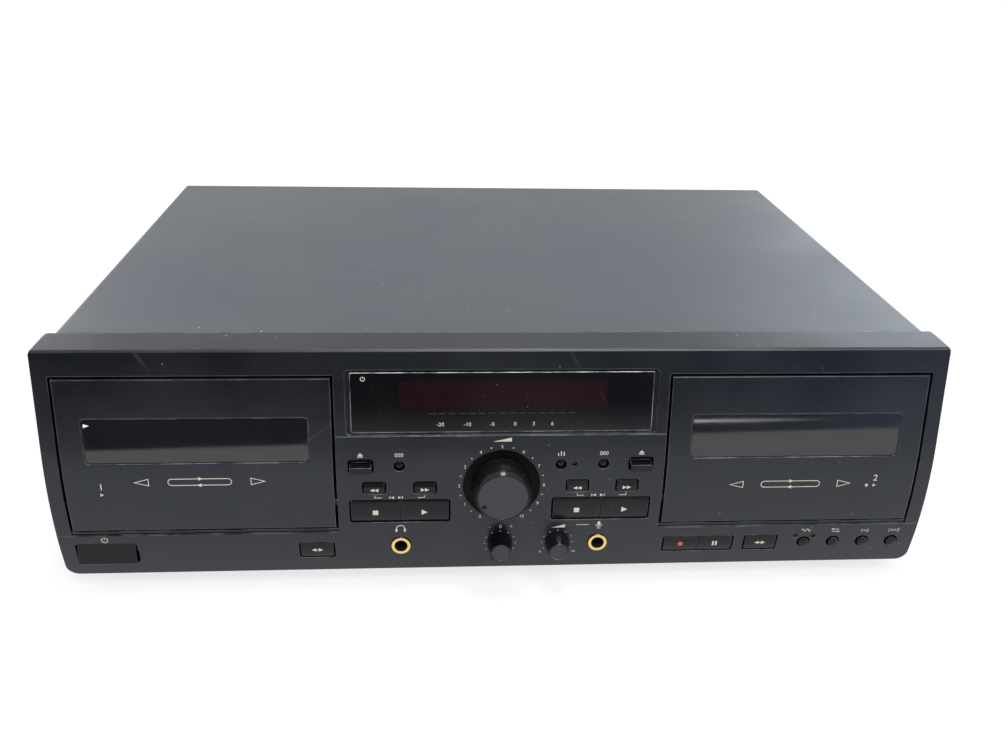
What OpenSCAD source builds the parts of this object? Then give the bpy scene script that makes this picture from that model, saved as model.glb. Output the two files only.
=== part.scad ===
// Double cassette deck: two tilting cassette doors in a bowed front, controls between and below them.
// Lengths are in millimetres. A place on the front is given by x and by its drop below the front's top edge.
// A size whose name ends in set holds for a front of standard width and height. It grows and shrinks with
// the front.

/* [Body] */
// Overall width, across the front
body_w = 435; // [430:1:445]
// Height of the front, from its bottom edge to its top edge
fascia_h = 121.8; // [121:0.2:126]
// Depth from the front's top edge to the back edge of the cover
body_d = 295; // [285:1:310]
// Height of the feet
feet_h = 9.5; // [8:0.5:12]
// Radius of a foot at the floor
foot_r = 13; // [10:0.5:16]
// Rise of the cover above the front's top edge
top_rise = 1.7; // [1:0.1:2.5]
// Depth of the strip on top of the front
top_strip = 17.4; // [17:0.2:20]
// Step in from each side of the front to the cover
cover_step = 5.8; // [4:0.2:7]
// Wall of the moulded front
wall = 2.6; // [2.2:0.1:3]
// Steel sheet of cover, chassis and back
sheet = 1; // [0.8:0.1:1.2]
// Corner radius of the front at its bottom
corner_r = 6; // [4:0.5:8]
// Corner radius of the front at its top
top_corner_r = 4; // [2:0.5:5]

/* [Bowed front] */
// How far the upper part leans back, per millimetre of drop
lean = 0.13; // [0.11:0.005:0.15]
// Drop at which the bow starts
bow_start_set = 49.5; // [48:0.5:52]
// Radius of the bow
bow_r = 190; // [175:1:205]
// Cut along the front's top edge
edge_cut = 0.9; // [0.4:0.1:1.4]

/* [Doors] */
// Drop of the door opening's top
opening_top_set = 12.3; // [11.5:0.1:13]
// Drop of the ledge under the doors
ledge_drop_set = 94.2; // [93.5:0.1:95]
// Height of the ledge under the doors
ledge_h = 1.9; // [1.5:0.1:2.5]
// Set-back of the ledge from the front's surface
ledge_set = 1; // [0.6:0.1:1.4]
// Width of the panel between the doors
centre_w_set = 160.8; // [160:0.2:163]
// Width of the strip outside each door
side_strip = 7.1; // [6.8:0.1:8]
// Gap round a door
door_gap = 1.4; // [1:0.1:1.8]
// Thickness of a door
door_t = 3; // [2.6:0.1:3.4]
// Height of the door hinge above the ledge
hinge_rise = 14.2; // [12.2:0.1:16.2]
// Set-back of the door hinge from the front's surface
hinge_set = 4.5; // [4.2:0.1:5]
// Radius of a hinge pin
pin_r = 2; // [1.6:0.1:2.4]
// Length of a hinge pin in its bore
pin_len = 3; // [2:0.1:3.4]
// Width of a door window
window_w_set = 105.2; // [100:0.2:108]
// Height of a door window
window_h_set = 22.6; // [20:0.2:25]
// Drop of a door window's top
window_drop_set = 33; // [31:0.5:35]
// Corner radius of a door window
window_r = 2.2; // [1:0.1:3]
// Thickness of the clear windows
lens_t = 2; // [1.6:0.1:2.4]

/* [Display] */
// Width of the display window
display_w_set = 145.6; // [140:0.2:148]
// Height of the display window
display_h_set = 30.2; // [28:0.2:30.4]
// Drop of the display window's top
display_drop_set = 11; // [10.4:0.1:11.2]
// Drop of the seam under the display
display_seam_set = 42.7; // [42.4:0.1:44]
// Width of the step round the display window
bezel = 1.2; // [0.8:0.1:1.3]
// Width of the display tube
tube_w_set = 112; // [100:1:124]
// Height of the display tube
tube_h_set = 24; // [20:1:26]
// Thickness of the display tube
tube_t = 6; // [4:0.5:7]

/* [Keys] */
// Half the distance between the two groups of transport keys
group_x_set = 50; // [49:0.2:51]
// Width of a stop or play key
play_w_set = 23.8; // [22:0.2:24.2]
// Height of a stop or play key
play_h_set = 13; // [11:0.2:13.4]
// Drop of the stop and play keys
play_drop_set = 83.4; // [83:0.1:84]
// Width of a winding key
wind_w_set = 10; // [9:0.2:11.6]
// Height of a winding key
wind_h_set = 6.4; // [5:0.2:6.8]
// Drop of the winding keys
wind_drop_set = 70; // [69.4:0.1:70.4]
// Distance of a winding key from the middle of its group
wind_x_set = 12.4; // [11:0.2:14]
// Width of an eject key
eject_w_set = 10.6; // [9.6:0.2:11.4]
// Height of an eject key
eject_h_set = 6.6; // [6:0.2:7]
// Distance of an eject key from the middle of the front
eject_x_set = 68.6; // [68:0.2:69.4]
// Drop of the top row of keys
top_row_drop_set = 58.2; // [57.6:0.1:58.8]
// Radius of a counter key
counter_r = 1.9; // [1.6:0.1:2.3]
// Distance of the level-matching key from the middle of the front
match_x_set = 28.9; // [28:0.1:31]
// Drop of the bottom row of keys, knobs and sockets
bottom_row_drop_set = 107.5; // [106.8:0.1:108]
// Width of the power key
power_w_set = 28.2; // [24:0.2:29]
// Height of the power key
power_h_set = 11.8; // [10:0.2:12]
// Distance of the power key from the middle of the front
power_x_set = 195.2; // [193:0.1:195.6]
// Stand-out of the power key's lower edge
power_out = 2; // [1:0.1:2.6]
// Width of a record or pause key
low_w_set = 17.6; // [16:0.2:18]
// Width of a direction key
direction_w_set = 16.2; // [14.4:0.2:16.6]
// Height of a record, pause or direction key
low_h_set = 9.8; // [9:0.2:10.4]
// Distance of the left direction key from the middle of the front
direction_a_x_set = 92; // [91.6:0.1:95]
// Distance between record and pause keys' meeting line and the middle of the front
record_x_set = 102.6; // [102:0.1:104]
// Distance of the right direction key from the middle of the front
direction_b_x_set = 135.6; // [134.6:0.1:137]
// Radius of a round mode key
mode_r = 2.6; // [2.2:0.1:2.8]
// Distance of the first mode key from the middle of the front
mode_x_set = 158.8; // [157.6:0.1:159]
// Distance from one mode key to the next
mode_pitch_set = 15.6; // [14.8:0.1:15.8]
// Clear space above and below a key in its hole
key_clear = 0.4; // [0.3:0.05:0.5]
// Clear space at a key's ends and round a round key
end_clear = 0.9; // [0.6:0.1:1]
// Radius of a flat key's crowned face
crown_r = 20; // [16:1:40]
// Travel of a key
key_travel = 1.2; // [0.8:0.1:1.6]
// Travel of the power key
power_travel = 3; // [2:0.1:3.4]

/* [Knobs and sockets] */
// Drop of the level knob
level_drop_set = 69.4; // [69:0.1:70]
// Radius of the level knob at its base
level_base_r = 14.8; // [13:0.1:16]
// Radius of the level knob at its front
level_cap_r = 12.6; // [11:0.1:12.8]
// Stand-out of the level knob from the front's surface
level_out = 12; // [10:0.5:15]
// Radius of the dished well round the level knob
well_r = 19; // [18:0.1:20]
// Depth of the dished well
well_depth = 1.4; // [1:0.1:1.6]
// Drop of the small knobs and front sockets
socket_drop_set = 104.9; // [104.4:0.1:105.4]
// Distance of the mixing knob from the middle of the front
mix_x_set = 29.3; // [28.6:0.1:30]
// Radius of a small knob at its base
small_base_r = 6.4; // [5.6:0.1:6.8]
// Radius of a small knob at its front
small_cap_r = 5; // [4:0.1:5.4]
// Stand-out of a small knob from the front's surface
small_out = 9.5; // [8:0.5:11]
// Radius of the level knob's shaft
level_shaft_r = 3; // [2.5:0.1:3.2]
// Radius of a small knob's shaft
small_shaft_r = 2; // [1.6:0.1:2.4]
// Outer radius of a front socket's ring
ring_r = 4.75; // [4.4:0.05:5]
// Radius of a front socket's bore
jack_r = 3.25; // [3.2:0.05:3.4]
// Depth of a front socket's bore
jack_depth = 31; // [29:0.5:32]

/* [Cassette mechanism] */
// Set-back of the mechanism plate from the front's top edge
plate_y = 15; // [14.8:0.1:15.4]
// Thickness of the mechanism plates
plate_t = 2.4; // [2:0.1:2.6]
// Distance of the mechanism plate's edges from those of the door opening
plate_margin = 6; // [5:0.5:8]
// Height of the reel axes above the cassette's lower edge
reel_rise = 35.4; // [34:0.2:37]
// Distance between the two reel axes
reel_gap = 42.5; // [42:0.1:43]
// Radius of a reel's base disc
reel_r = 11; // [9:0.5:12]
// Radius of a reel's spindle
spindle_r = 3.5; // [3.2:0.1:3.8]
// Radius of a reel post
post_r = 1.2; // [1:0.1:1.4]
// Height of the capstans above the cassette's lower edge
capstan_rise = 7.5; // [7:0.1:8]
// Distance between the two capstans
capstan_gap = 63; // [60:0.5:64]
// Radius of a capstan
capstan_r = 1; // [0.9:0.05:1.2]
// Radius of a flywheel
flywheel_r = 18; // [16:0.5:19]
// Width of a flywheel's rim
flywheel_t = 7; // [6:0.5:8]
// Radius of the motor
motor_r = 14; // [12:0.5:15]
// Length of the motor
motor_len = 25; // [20:1:30]
// Radius of the motor pulley
pulley_r = 4.5; // [4:0.1:5]
// Thickness of the drive belt
belt_t = 0.8; // [0.6:0.1:1]
// Width of the drive belt
belt_w = 4; // [3:0.5:5]
// Travel of the head carriage
head_travel = 5; // [4:0.1:5]
// Radius of a pinch roller
roller_r = 4; // [3.6:0.1:4.2]
// Half the width of the cassette bay between its rails
bay_half = 50.9; // [50.6:0.1:51.5]

/* [Back] */
// Stand-out of a line socket from the back
line_out = 9.6; // [8:0.2:11]
// Outer radius of a line socket
line_r = 4.15; // [4:0.05:4.3]
// Radius of a line socket's centre hole
line_hole_r = 1.65; // [1.55:0.05:1.75]
// Distance from one line socket to the next
line_pitch = 16; // [14.5:0.5:18]
// Radius of the mains gland's bore
gland_r = 3.6; // [3:0.1:4]
// Length of the mains gland
gland_len = 12; // [10:0.5:14]

/* [Hidden] */
$fn = 96;

// Clearances
seam = 0.15;
fit = 0.05;
slack = 0.3;
lens_gap = 0.15;
far = 60;

// Standard front, and how much wider or taller this one is: between the doors, across a door opening and
// in height
standard_w = 435;
standard_h = 121.8;
standard_centre = 160.8;
standard_span = 130;
centre_w = centre_w_set * body_w / standard_w;
opening_in = centre_w / 2;
opening_out = body_w / 2 - side_strip;
span_w = opening_out - opening_in;
wide = centre_w / standard_centre;
span = span_w / standard_span;
tall = fascia_h / standard_h;
function along_row(x) = opening_in + (x - standard_centre / 2) * span;
display_w = display_w_set * wide;
tube_w = tube_w_set * wide;
group_x = group_x_set * wide;
play_w = play_w_set * wide;
wind_w = wind_w_set * wide;
wind_x = wind_x_set * wide;
eject_w = eject_w_set * wide;
eject_x = eject_x_set * wide;
match_x = match_x_set * wide;
mix_x = mix_x_set * wide;
window_w = window_w_set * span;
power_w = power_w_set * span;
low_w = low_w_set * span;
direction_w = direction_w_set * span;
mode_pitch = mode_pitch_set * span;
power_x = along_row(power_x_set);
direction_a_x = along_row(direction_a_x_set);
record_x = along_row(record_x_set);
direction_b_x = along_row(direction_b_x_set);
mode_x = along_row(mode_x_set);
bow_start = bow_start_set * tall;
opening_top = opening_top_set * tall;
ledge_drop = ledge_drop_set * tall;
window_h = window_h_set * tall;
window_drop = window_drop_set * tall;
display_h = display_h_set * tall;
display_drop = display_drop_set * tall;
display_seam = display_seam_set * tall;
tube_h = tube_h_set * tall;
play_h = play_h_set * tall;
play_drop = play_drop_set * tall;
wind_h = wind_h_set * tall;
wind_drop = wind_drop_set * tall;
eject_h = eject_h_set * tall;
top_row_drop = top_row_drop_set * tall;
bottom_row_drop = bottom_row_drop_set * tall;
power_h = power_h_set * tall;
low_h = low_h_set * tall;
level_drop = level_drop_set * tall;
socket_drop = socket_drop_set * tall;

// Bow of the front: a straight stretch that leans back, then an arc tangent to it
lean_a = atan(lean);
bow_cy = bow_r * cos(lean_a) - lean * bow_start;
bow_cd = bow_start + bow_r * sin(lean_a);
function front(d) = d <= bow_start ? -lean * d : bow_cy - sqrt(bow_r * bow_r - (d - bow_cd) * (d - bow_cd));
function nearest_front(d, r) =
    d - r < bow_cd && d + r > bow_cd ? front(bow_cd) : min(front(d - r), front(d + r));
function deepest_front(d, r) = max(front(d - r), front(d + r));

// Door openings and their hinges
deck_x = (opening_in + opening_out) / 2;
side_seam = ledge_drop + ledge_h;
hinge_drop = ledge_drop - hinge_rise;
hinge_y = front(hinge_drop) + hinge_set;
hinge_gap = 1;
round_r = ledge_drop - hinge_drop - hinge_gap;
return_t = 2;
return_d = 13.5;
back_wall = 1.6;
boss_r = 5;
ear_t = 3;
ear_r = hinge_set - 0.5;

// Boards and switches behind the front
board_y = 14;
board_t = 1.6;
switch_w = 6;
switch_t = 3.5;
plunger_t = 1;
switch_y = board_y - switch_t - plunger_t;
board_w = centre_w - 2 * return_t - 2;
strip_top = bottom_row_drop - 5.5;
strip_bottom = fascia_h - 3.8;
flange_t = 1.2;
flange_rim = 0.8;
key_corner = 1;
hole_corner = 1.6;
power_edge_r = 1.2;
power_tilt = 11;
bezel_side = 2.2;
bezel_d = 1.2;
door_edge = 0.7;
stem_r = 1.8;
socket_half = 6.3;

// Cassette holder and the mechanism behind it
cassette_h = 60;
cassette_lift = 10.2;
cassette_base = ledge_drop - cassette_lift;
cassette_top = cassette_base - cassette_h;
reel_drop = cassette_base - reel_rise;
capstan_drop = cassette_base - capstan_rise;
rail_t = 2.5;
rail_back = plate_y - 1.7;
rail_lip = 1;
spindle_tip = 5.7;
capstan_x = capstan_gap / 2;
reel_x = reel_gap / 2;
reel_t = 3;
plate_w = span_w - 2 * plate_margin;
plate_lap = 3;
mech_post_r = 2.4;
post_in = 14;
post_dx = plate_w / 2 - post_in;
post_rise = 5.8;
upper_post_drop = opening_top - post_rise;
lower_post_drop = side_seam + mech_post_r - 0.5;
plate_top = upper_post_drop - plate_lap;
plate_bottom = side_seam + mech_post_r + 1.5;
bearing_len = 6;
bearing_r = 4;
wheel_y = plate_y + 9;
back_plate_y = wheel_y + flywheel_t + 4;
back_plate_half = plate_w / 2 - plate_lap;
back_plate_rise = 14.6;
back_plate_top = reel_drop - back_plate_rise;
stay_r = 3;
stay_in = 6.5;
stay_x = plate_w / 2 - stay_in;
thrust_depth = 1.6;
pulley_in = 13;
pulley_rise = 29;
pulley_x = plate_w / 2 - pulley_in;
pulley_drop = capstan_drop - pulley_rise;
shaft_in_motor = 8;
belt_gap = 0.15;

// Carriage of the heads
roller_rest = capstan_drop + capstan_r + roller_r + head_travel + 0.2;
carriage_half = 42;
carriage_t = 2.5;
carriage_top = cassette_base + 1.5;
carriage_bottom = ledge_drop - 0.7;
guide_x = 36;
guide_rise = 4.2;
guide_drop = ledge_drop - guide_rise;
guide_r = 1.5;
head_half = 6;
head_top = cassette_base + 1;

// Case
top_z = top_rise;
cover_half = body_w / 2 - cover_step;
case_front = top_strip + 0.2;
cover_low = fascia_h - 3;
inner_half = cover_half - sheet - 0.2;
back_y = body_d - 1;
back_in = back_y - sheet;
flange_h = 14;
screw_r = 1.5;
screw_hole_r = 1.8;
screw_head_r = 3.4;
screw_head_t = 2;
screw_len = 6;
screw_drop = fascia_h - 8;
side_screw_far = 205;
side_screw_near = 65;
side_screw_y = [body_d - side_screw_far, body_d - side_screw_near];
back_screw_in = 30.5;
back_screw_out = inner_half - back_screw_in;
back_screw_x = [-back_screw_out, -back_screw_out / 3, back_screw_out / 3, back_screw_out];
line_in = 70.5;
line_rise = 33.8;
collar_t = 1.5;
collar_out = 1.2;
line_x = line_in - inner_half;
line_drop = fascia_h - line_rise;
gland_in = 45.5;
gland_rise = 25.8;
gland_x = inner_half - gland_in;
gland_drop = fascia_h - gland_rise;
foot_in = 38.5;
foot_x = inner_half - foot_in;
foot_front = 42;
foot_back = 42;

// Main board and its parts, and the transformer
main_back = 21;
main_len = 177;
main_side = 25;
main_gap = 27;
stand_h = 8;
stand_r = 3.5;
stand_in = 8;
can_r = 6;
can_h = 20;
can_pitch = 22;
chip_w = 20;
chip_len = 30;
chip_t = 5;
chip_pitch = 40;
fin_in = 50;
fin_back = 30;
fin_len = 40;
fin_h = 32;
fin_t = 2;
fin_pitch = 5;
core_in = 75.5;
core_x = inner_half - core_in;
core_back = 78;
core_half = 18;
core_foot = 38;
core_w = 58;
core_h = 50;
core_base = 1.5;
coil_half = 19;
coil_out = 13;
coil_top = 40;
coil_low = 12;

// Frame: the origin lies on the floor, in the middle of the overall box
level_y = nearest_front(level_drop, level_base_r) + well_depth - 0.4;
front_tip = front(level_drop) - level_out;
rear_tip = back_y + line_out;
mid_y = (front_tip + rear_tip) / 2;
front_top = feet_h + fascia_h;

// Places of the keys: x, drop
play_x = play_w / 2 + key_clear / 2;
low_x = low_w / 2 + key_clear / 2;
key_places = [
    [-power_x, bottom_row_drop], [-direction_a_x, bottom_row_drop], [direction_b_x, bottom_row_drop],
    [record_x - low_x, bottom_row_drop], [record_x + low_x, bottom_row_drop],
    [-eject_x, top_row_drop], [eject_x, top_row_drop], [-group_x, top_row_drop], [group_x, top_row_drop],
    [match_x, top_row_drop],
    [-group_x - wind_x, wind_drop], [-group_x + wind_x, wind_drop],
    [group_x - wind_x, wind_drop], [group_x + wind_x, wind_drop],
    [-group_x - play_x, play_drop], [-group_x + play_x, play_drop],
    [group_x - play_x, play_drop], [group_x + play_x, play_drop],
    for (i = [0:3]) [mode_x + i * mode_pitch, bottom_row_drop]];
lamp_r = 1;
lamp_places = [[35.6 * wide, top_row_drop - 0.3], [mode_x - 5.1, bottom_row_drop - 4.3],
    [mode_x + 4.3, bottom_row_drop - 4.1]];
board_posts = [
    for (s = [-1, 1]) [s * (opening_in - 9.9), display_seam + 4.3],
    for (s = [-1, 1]) [s * 16 * wide, socket_drop - 8.4],
    [4.9 - opening_in, bottom_row_drop + 0.5], [opening_in - 4.4, bottom_row_drop + 0.5],
    [-along_row(160), bottom_row_drop + 2.5], [along_row(152), bottom_row_drop + 7.5]];
board_post_r = 2.2;

// Moves a shape from the front's own frame to the part's frame
module in_place() {
    translate([0, -mid_y, front_top]) children();
}

module both_sides() {
    children();
    mirror([1, 0, 0]) children();
}

module block(x0, x1, y0, y1, d0, d1) {
    translate([x0, y0, -d1]) cube([x1 - x0, y1 - y0, d1 - d0]);
}

module along_x(x0, x1) {
    translate([x0, 0, 0]) rotate([90, 0, 90]) linear_extrude(height = x1 - x0) children();
}

module along_y(y0, y1) {
    translate([0, y1, 0]) rotate([90, 0, 0]) linear_extrude(height = y1 - y0) children();
}

module rod_x(y, d, x0, x1, r) {
    translate([x0, y, -d]) rotate([0, 90, 0]) cylinder(r = r, h = x1 - x0);
}

module rod_y(x, d, y0, y1, r) {
    translate([x, y0, -d]) rotate([-90, 0, 0]) cylinder(r = r, h = y1 - y0);
}

module cone_y(x, d, y0, y1, r0, r1) {
    translate([x, y0, -d]) rotate([-90, 0, 0]) cylinder(r1 = r0, r2 = r1, h = y1 - y0);
}

// Rectangle with round corners, its own size and place
module round_rect(x, d, w, h, r) {
    translate([x, -d]) union() {
        square([w - 2 * r, h], center = true);
        square([w, h - 2 * r], center = true);
        for (i = [-1, 1], j = [-1, 1]) translate([i * (w / 2 - r), j * (h / 2 - r)]) circle(r = r);
    }
}

// Section of everything that lies deeper than an offset from the bowed surface
module front_section(off, back) {
    join = bow_start + off * sin(lean_a);
    shift = off / cos(lean_a);
    above = 20;
    below = fascia_h + 10;
    difference() {
        translate([-far, -below]) square([back + far, below + above]);
        polygon([[-2 * far, above + 1], [shift + lean * (above + 1), above + 1], [shift - lean * join, -join],
            [-2 * far, -join]]);
        difference() {
            translate([-2 * far, -below - 1]) square([2 * far + bow_cy, below + 1 - join]);
            translate([bow_cy, -bow_cd]) circle(r = bow_r - off, $fn = 360);
        }
    }
}

module behind_front(off, back) {
    along_x(-body_w, body_w) front_section(off, back);
}

// Sheet that follows the bow: set-back off, thickness t
module skin(x0, x1, d0, d1, off, t) {
    difference() {
        intersection() {
            block(x0, x1, -far, far, d0, d1);
            behind_front(off, far);
        }
        behind_front(off + t, far + 1);
    }
}

// Outline of the front seen from ahead, drawn in by an inset
module fascia_outline(inset) {
    half = body_w / 2 - inset;
    low = fascia_h - inset;
    high = top_z - inset;
    r = corner_r - inset;
    top_r = top_corner_r - inset;
    translate([-half, -low + r]) square([2 * half, low + high - r - top_r]);
    translate([-half + r, -low]) square([2 * (half - r), low]);
    translate([-half + top_r, -corner_r]) square([2 * (half - top_r), corner_r + high]);
    for (i = [-1, 1]) {
        translate([i * (half - r), -low + r]) circle(r = r);
        translate([i * (half - top_r), high - top_r]) circle(r = top_r);
    }
}

// Section of the front from side to side: bowed face, cut top edge and rising top strip
module fascia_section() {
    rise = top_z / top_strip;
    low = fascia_h + 1;
    intersection() {
        front_section(0, top_strip);
        polygon([[-far, -low], [top_strip, -low], [top_strip, top_z], [edge_cut, edge_cut * rise],
            [-lean * edge_cut, -edge_cut], [-far, -edge_cut - far]]);
    }
}

module fascia_shell() {
    difference() {
        intersection() {
            along_x(-body_w / 2, body_w / 2) fascia_section();
            along_y(-far, far) fascia_outline(0);
        }
        intersection() {
            behind_front(wall, far);
            block(-body_w / 2 + wall, body_w / 2 - wall, -far, far, wall, fascia_h - wall);
        }
    }
}

module upper_mask() {
    block(-body_w, body_w, -far, far, -far, opening_top);
    block(-opening_in, opening_in, -far, far, 0, display_seam);
    both_sides() block(opening_out, body_w, -far, far, 0, side_seam);
}

module lower_mask() {
    block(-opening_in, opening_in, -far, far, display_seam + seam, fascia_h + 1);
    block(-body_w, body_w, -far, far, side_seam + seam, fascia_h + 1);
}

// Walls that line the door openings, with the outer hinge bosses
module upper_returns() {
    intersection() {
        both_sides() {
            block(opening_out, opening_out + return_t, -far, return_d, opening_top - return_t, side_seam);
            block(opening_in - return_t, opening_out + return_t, -far, return_d,
                opening_top - return_t, opening_top);
            block(opening_in - return_t, opening_in, -far, return_d, opening_top - return_t, display_seam);
            block(opening_out, body_w / 2 - wall / 2, hinge_y - boss_r, hinge_y + boss_r,
                hinge_drop - boss_r, hinge_drop + boss_r);
        }
        behind_front(wall / 2, far);
    }
}

// Walls that close the back of the front where it stands out beside the cover
module side_backs(d0, d1) {
    intersection() {
        both_sides() block(cover_half - 2, body_w, top_strip - back_wall, top_strip, d0, d1);
        along_y(-far, far) fascia_outline(wall / 2);
    }
}

module upper_posts() {
    intersection() {
        both_sides() for (i = [-1, 1])
            rod_y(deck_x + i * post_dx, upper_post_drop, -far, plate_y, mech_post_r);
        behind_front(wall / 2, far);
    }
}

// Tongue that the cover's front edge rests on
module cover_tongue() {
    tongue = 5;
    block(-inner_half + 4, inner_half - 4, top_strip - 2, top_strip + tongue,
        -top_z + sheet + 0.1, wall);
}

module upper_fascia() {
    color([0.09, 0.09, 0.1]) in_place() difference() {
        union() {
            intersection() {
                fascia_shell();
                upper_mask();
            }
            upper_returns();
            upper_posts();
            side_backs(0, side_seam);
            cover_tongue();
        }
        along_y(-far, return_d) round_rect(0, display_drop + display_h / 2, display_w, display_h, 1);
        difference() {
            along_y(-far, far) round_rect(0, display_drop + display_h / 2,
                display_w + 2 * bezel_side, display_h + 2 * bezel, 2);
            behind_front(bezel_d, far);
        }
        both_sides() rod_x(hinge_y, hinge_drop, opening_out - 1, opening_out + pin_len + 0.4, pin_r + fit);
    }
}

// Ledge under each door, inner walls of the openings and the inner hinge bosses
module lower_returns() {
    both_sides() {
        intersection() {
            block(opening_in - return_t, opening_out, -far, return_d, ledge_drop, side_seam + seam + 1);
            behind_front(ledge_set, far);
        }
        intersection() {
            union() {
                block(opening_in - return_t, opening_in, -far, return_d, display_seam + seam, side_seam + 1);
                block(opening_in - pin_len - 2, opening_in, hinge_y - boss_r, hinge_y + boss_r,
                    hinge_drop - boss_r, hinge_drop + boss_r);
            }
            behind_front(wall / 2, far);
        }
    }
}

module lower_posts() {
    intersection() {
        union() {
            for (p = board_posts) rod_y(p[0], p[1], -far, board_y, board_post_r);
            both_sides() for (i = [-1, 1])
                rod_y(deck_x + i * post_dx, lower_post_drop, -far, plate_y, mech_post_r);
        }
        behind_front(wall / 2, far);
    }
}

module key_hole(x, d, w, h) {
    along_y(-far, board_y - 1) round_rect(x, d, w + 2 * end_clear, h + 2 * key_clear, hole_corner);
}

module lower_fascia() {
    color([0.1, 0.1, 0.11]) in_place() difference() {
        union() {
            intersection() {
                fascia_shell();
                lower_mask();
            }
            lower_returns();
            lower_posts();
            side_backs(side_seam + seam, fascia_h);
        }
        for (s = [-1, 1]) {
            key_hole(s * eject_x, top_row_drop, eject_w, eject_h);
            rod_y(s * group_x, top_row_drop, -far, board_y - 1, counter_r + end_clear);
            for (i = [-1, 1]) key_hole(s * group_x + i * wind_x, wind_drop, wind_w, wind_h);
            key_hole(s * group_x, play_drop, 2 * play_w + key_clear, play_h);
            rod_y(s * group_x, socket_drop, -far, board_y - 1, ring_r + slack);
        }
        rod_y(match_x, top_row_drop, -far, board_y - 1, counter_r + end_clear);
        key_hole(-power_x, bottom_row_drop, power_w, power_h);
        key_hole(-direction_a_x, bottom_row_drop, direction_w, low_h);
        key_hole(direction_b_x, bottom_row_drop, direction_w, low_h);
        key_hole(record_x, bottom_row_drop, 2 * low_w + key_clear, low_h);
        for (i = [0:3])
            rod_y(mode_x + i * mode_pitch, bottom_row_drop, -far, board_y - 1, mode_r + end_clear);
        for (p = lamp_places) rod_y(p[0], p[1], -far, board_y - 1, lamp_r + slack);
        difference() {
            rod_y(0, level_drop, -far, 0, well_r);
            behind_front(well_depth, far);
        }
        rod_y(0, level_drop, -far, board_y - 1, level_shaft_r + 1);
        for (x = [0, mix_x]) rod_y(x, socket_drop, -far, board_y - 1, small_shaft_r + 1);
        both_sides() rod_x(hinge_y, hinge_drop, opening_in - pin_len - 0.4, opening_in + 1, pin_r + fit);
    }
}

module display_window() {
    half = display_w / 2 - lens_gap;
    color([0.03, 0.03, 0.04]) in_place() intersection() {
        skin(-half, half, display_drop, display_drop + display_h, 0.3, lens_t);
        along_y(-far, far)
            round_rect(0, display_drop + display_h / 2, 2 * half, display_h - 2 * lens_gap, 0.9);
    }
}

module display_tube() {
    mid = display_drop + display_h / 2;
    color([0.2, 0.1, 0.1]) in_place()
        block(-tube_w / 2, tube_w / 2, board_y - tube_t, board_y, mid - tube_h / 2, mid + tube_h / 2);
}

// Sheet-steel tray with upturned edges
module chassis() {
    color([0.62, 0.63, 0.64]) in_place() difference() {
        block(-inner_half, inner_half, case_front, back_in, fascia_h - flange_h, fascia_h);
        block(-inner_half + sheet, inner_half - sheet, case_front + sheet, back_in - sheet,
            fascia_h - flange_h - 1, fascia_h - sheet);
        for (y = side_screw_y) rod_x(y, screw_drop, -body_w, body_w, screw_hole_r);
        for (x = back_screw_x) rod_y(x, screw_drop, back_in - 5, back_in + 5, screw_hole_r);
        for (s = [-1, 1]) block(s * group_x - socket_half - 2, s * group_x + socket_half + 2, case_front - 1,
            case_front + sheet + 1, fascia_h - flange_h - 1, socket_drop + socket_half + 1.5);
    }
}

// Section of the folded cover
module cover_section(grow, low) {
    half = cover_half - grow;
    bend = 2.6 - grow;
    top = top_z - grow;
    translate([-half, -low]) square([2 * half, low + top - bend]);
    translate([-half + bend, top - 2 * bend]) square([2 * (half - bend), 2 * bend]);
    for (i = [-1, 1]) translate([i * (half - bend), top - bend]) circle(r = bend);
}

module top_cover() {
    color([0.2, 0.2, 0.21]) in_place() difference() {
        along_y(case_front, body_d) cover_section(0, cover_low);
        along_y(case_front - 1, body_d + 1) cover_section(sheet, cover_low + 1);
        for (y = side_screw_y) rod_x(y, screw_drop, -body_w, body_w, screw_hole_r);
    }
}

module line_places() {
    for (i = [-0.5, 0.5], j = [-0.5, 0.5])
        translate([line_x + i * line_pitch, 0, -line_drop + j * line_pitch]) children();
}

module rear_panel() {
    lip = 10;
    color([0.16, 0.16, 0.17]) in_place() difference() {
        union() {
            along_y(back_in, back_y) cover_section(sheet + 0.2, fascia_h);
            block(-inner_half + 3, inner_half - 3, back_y - lip, back_y,
                -top_z + sheet + 0.2, -top_z + 2 * sheet + 0.2);
        }
        line_places() rod_y(0, 0, back_in - 5, back_y + 5, line_r + collar_t + slack);
        rod_y(gland_x, gland_drop, back_in - 5, back_y + 5, gland_r + 2 + slack);
        for (x = back_screw_x) rod_y(x, screw_drop, back_in - 5, back_y + 5, screw_hole_r);
    }
}

module feet() {
    hollow = 1.5;
    color([0.12, 0.12, 0.12]) in_place() both_sides()
        for (y = [foot_front, body_d - foot_back]) translate([foot_x, y, -front_top]) difference() {
            cylinder(r1 = foot_r, r2 = foot_r + 1, h = feet_h);
            translate([0, 0, -1]) cylinder(r = foot_r - 4, h = hollow + 1);
        }
}

// Screw along z with a cross in its head
module screw() {
    cross_r = 2;
    cross_w = 0.9;
    cross_depth = 1.1;
    difference() {
        union() {
            cylinder(r = screw_head_r, h = screw_head_t);
            translate([0, 0, -screw_len]) cylinder(r = screw_r, h = screw_len + 0.5);
        }
        for (turn = [0, 90])
            rotate([0, 0, turn])
                translate([-cross_r, -cross_w / 2, screw_head_t - cross_depth])
                    cube([2 * cross_r, cross_w, cross_depth + 1]);
    }
}

module case_screws() {
    color([0.25, 0.25, 0.26]) in_place() {
        both_sides()
            for (y = side_screw_y)
                translate([cover_half, y, -screw_drop]) rotate([0, 90, 0]) screw();
        for (x = back_screw_x) translate([x, back_y, -screw_drop]) rotate([-90, 0, 0]) screw();
    }
}

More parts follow.
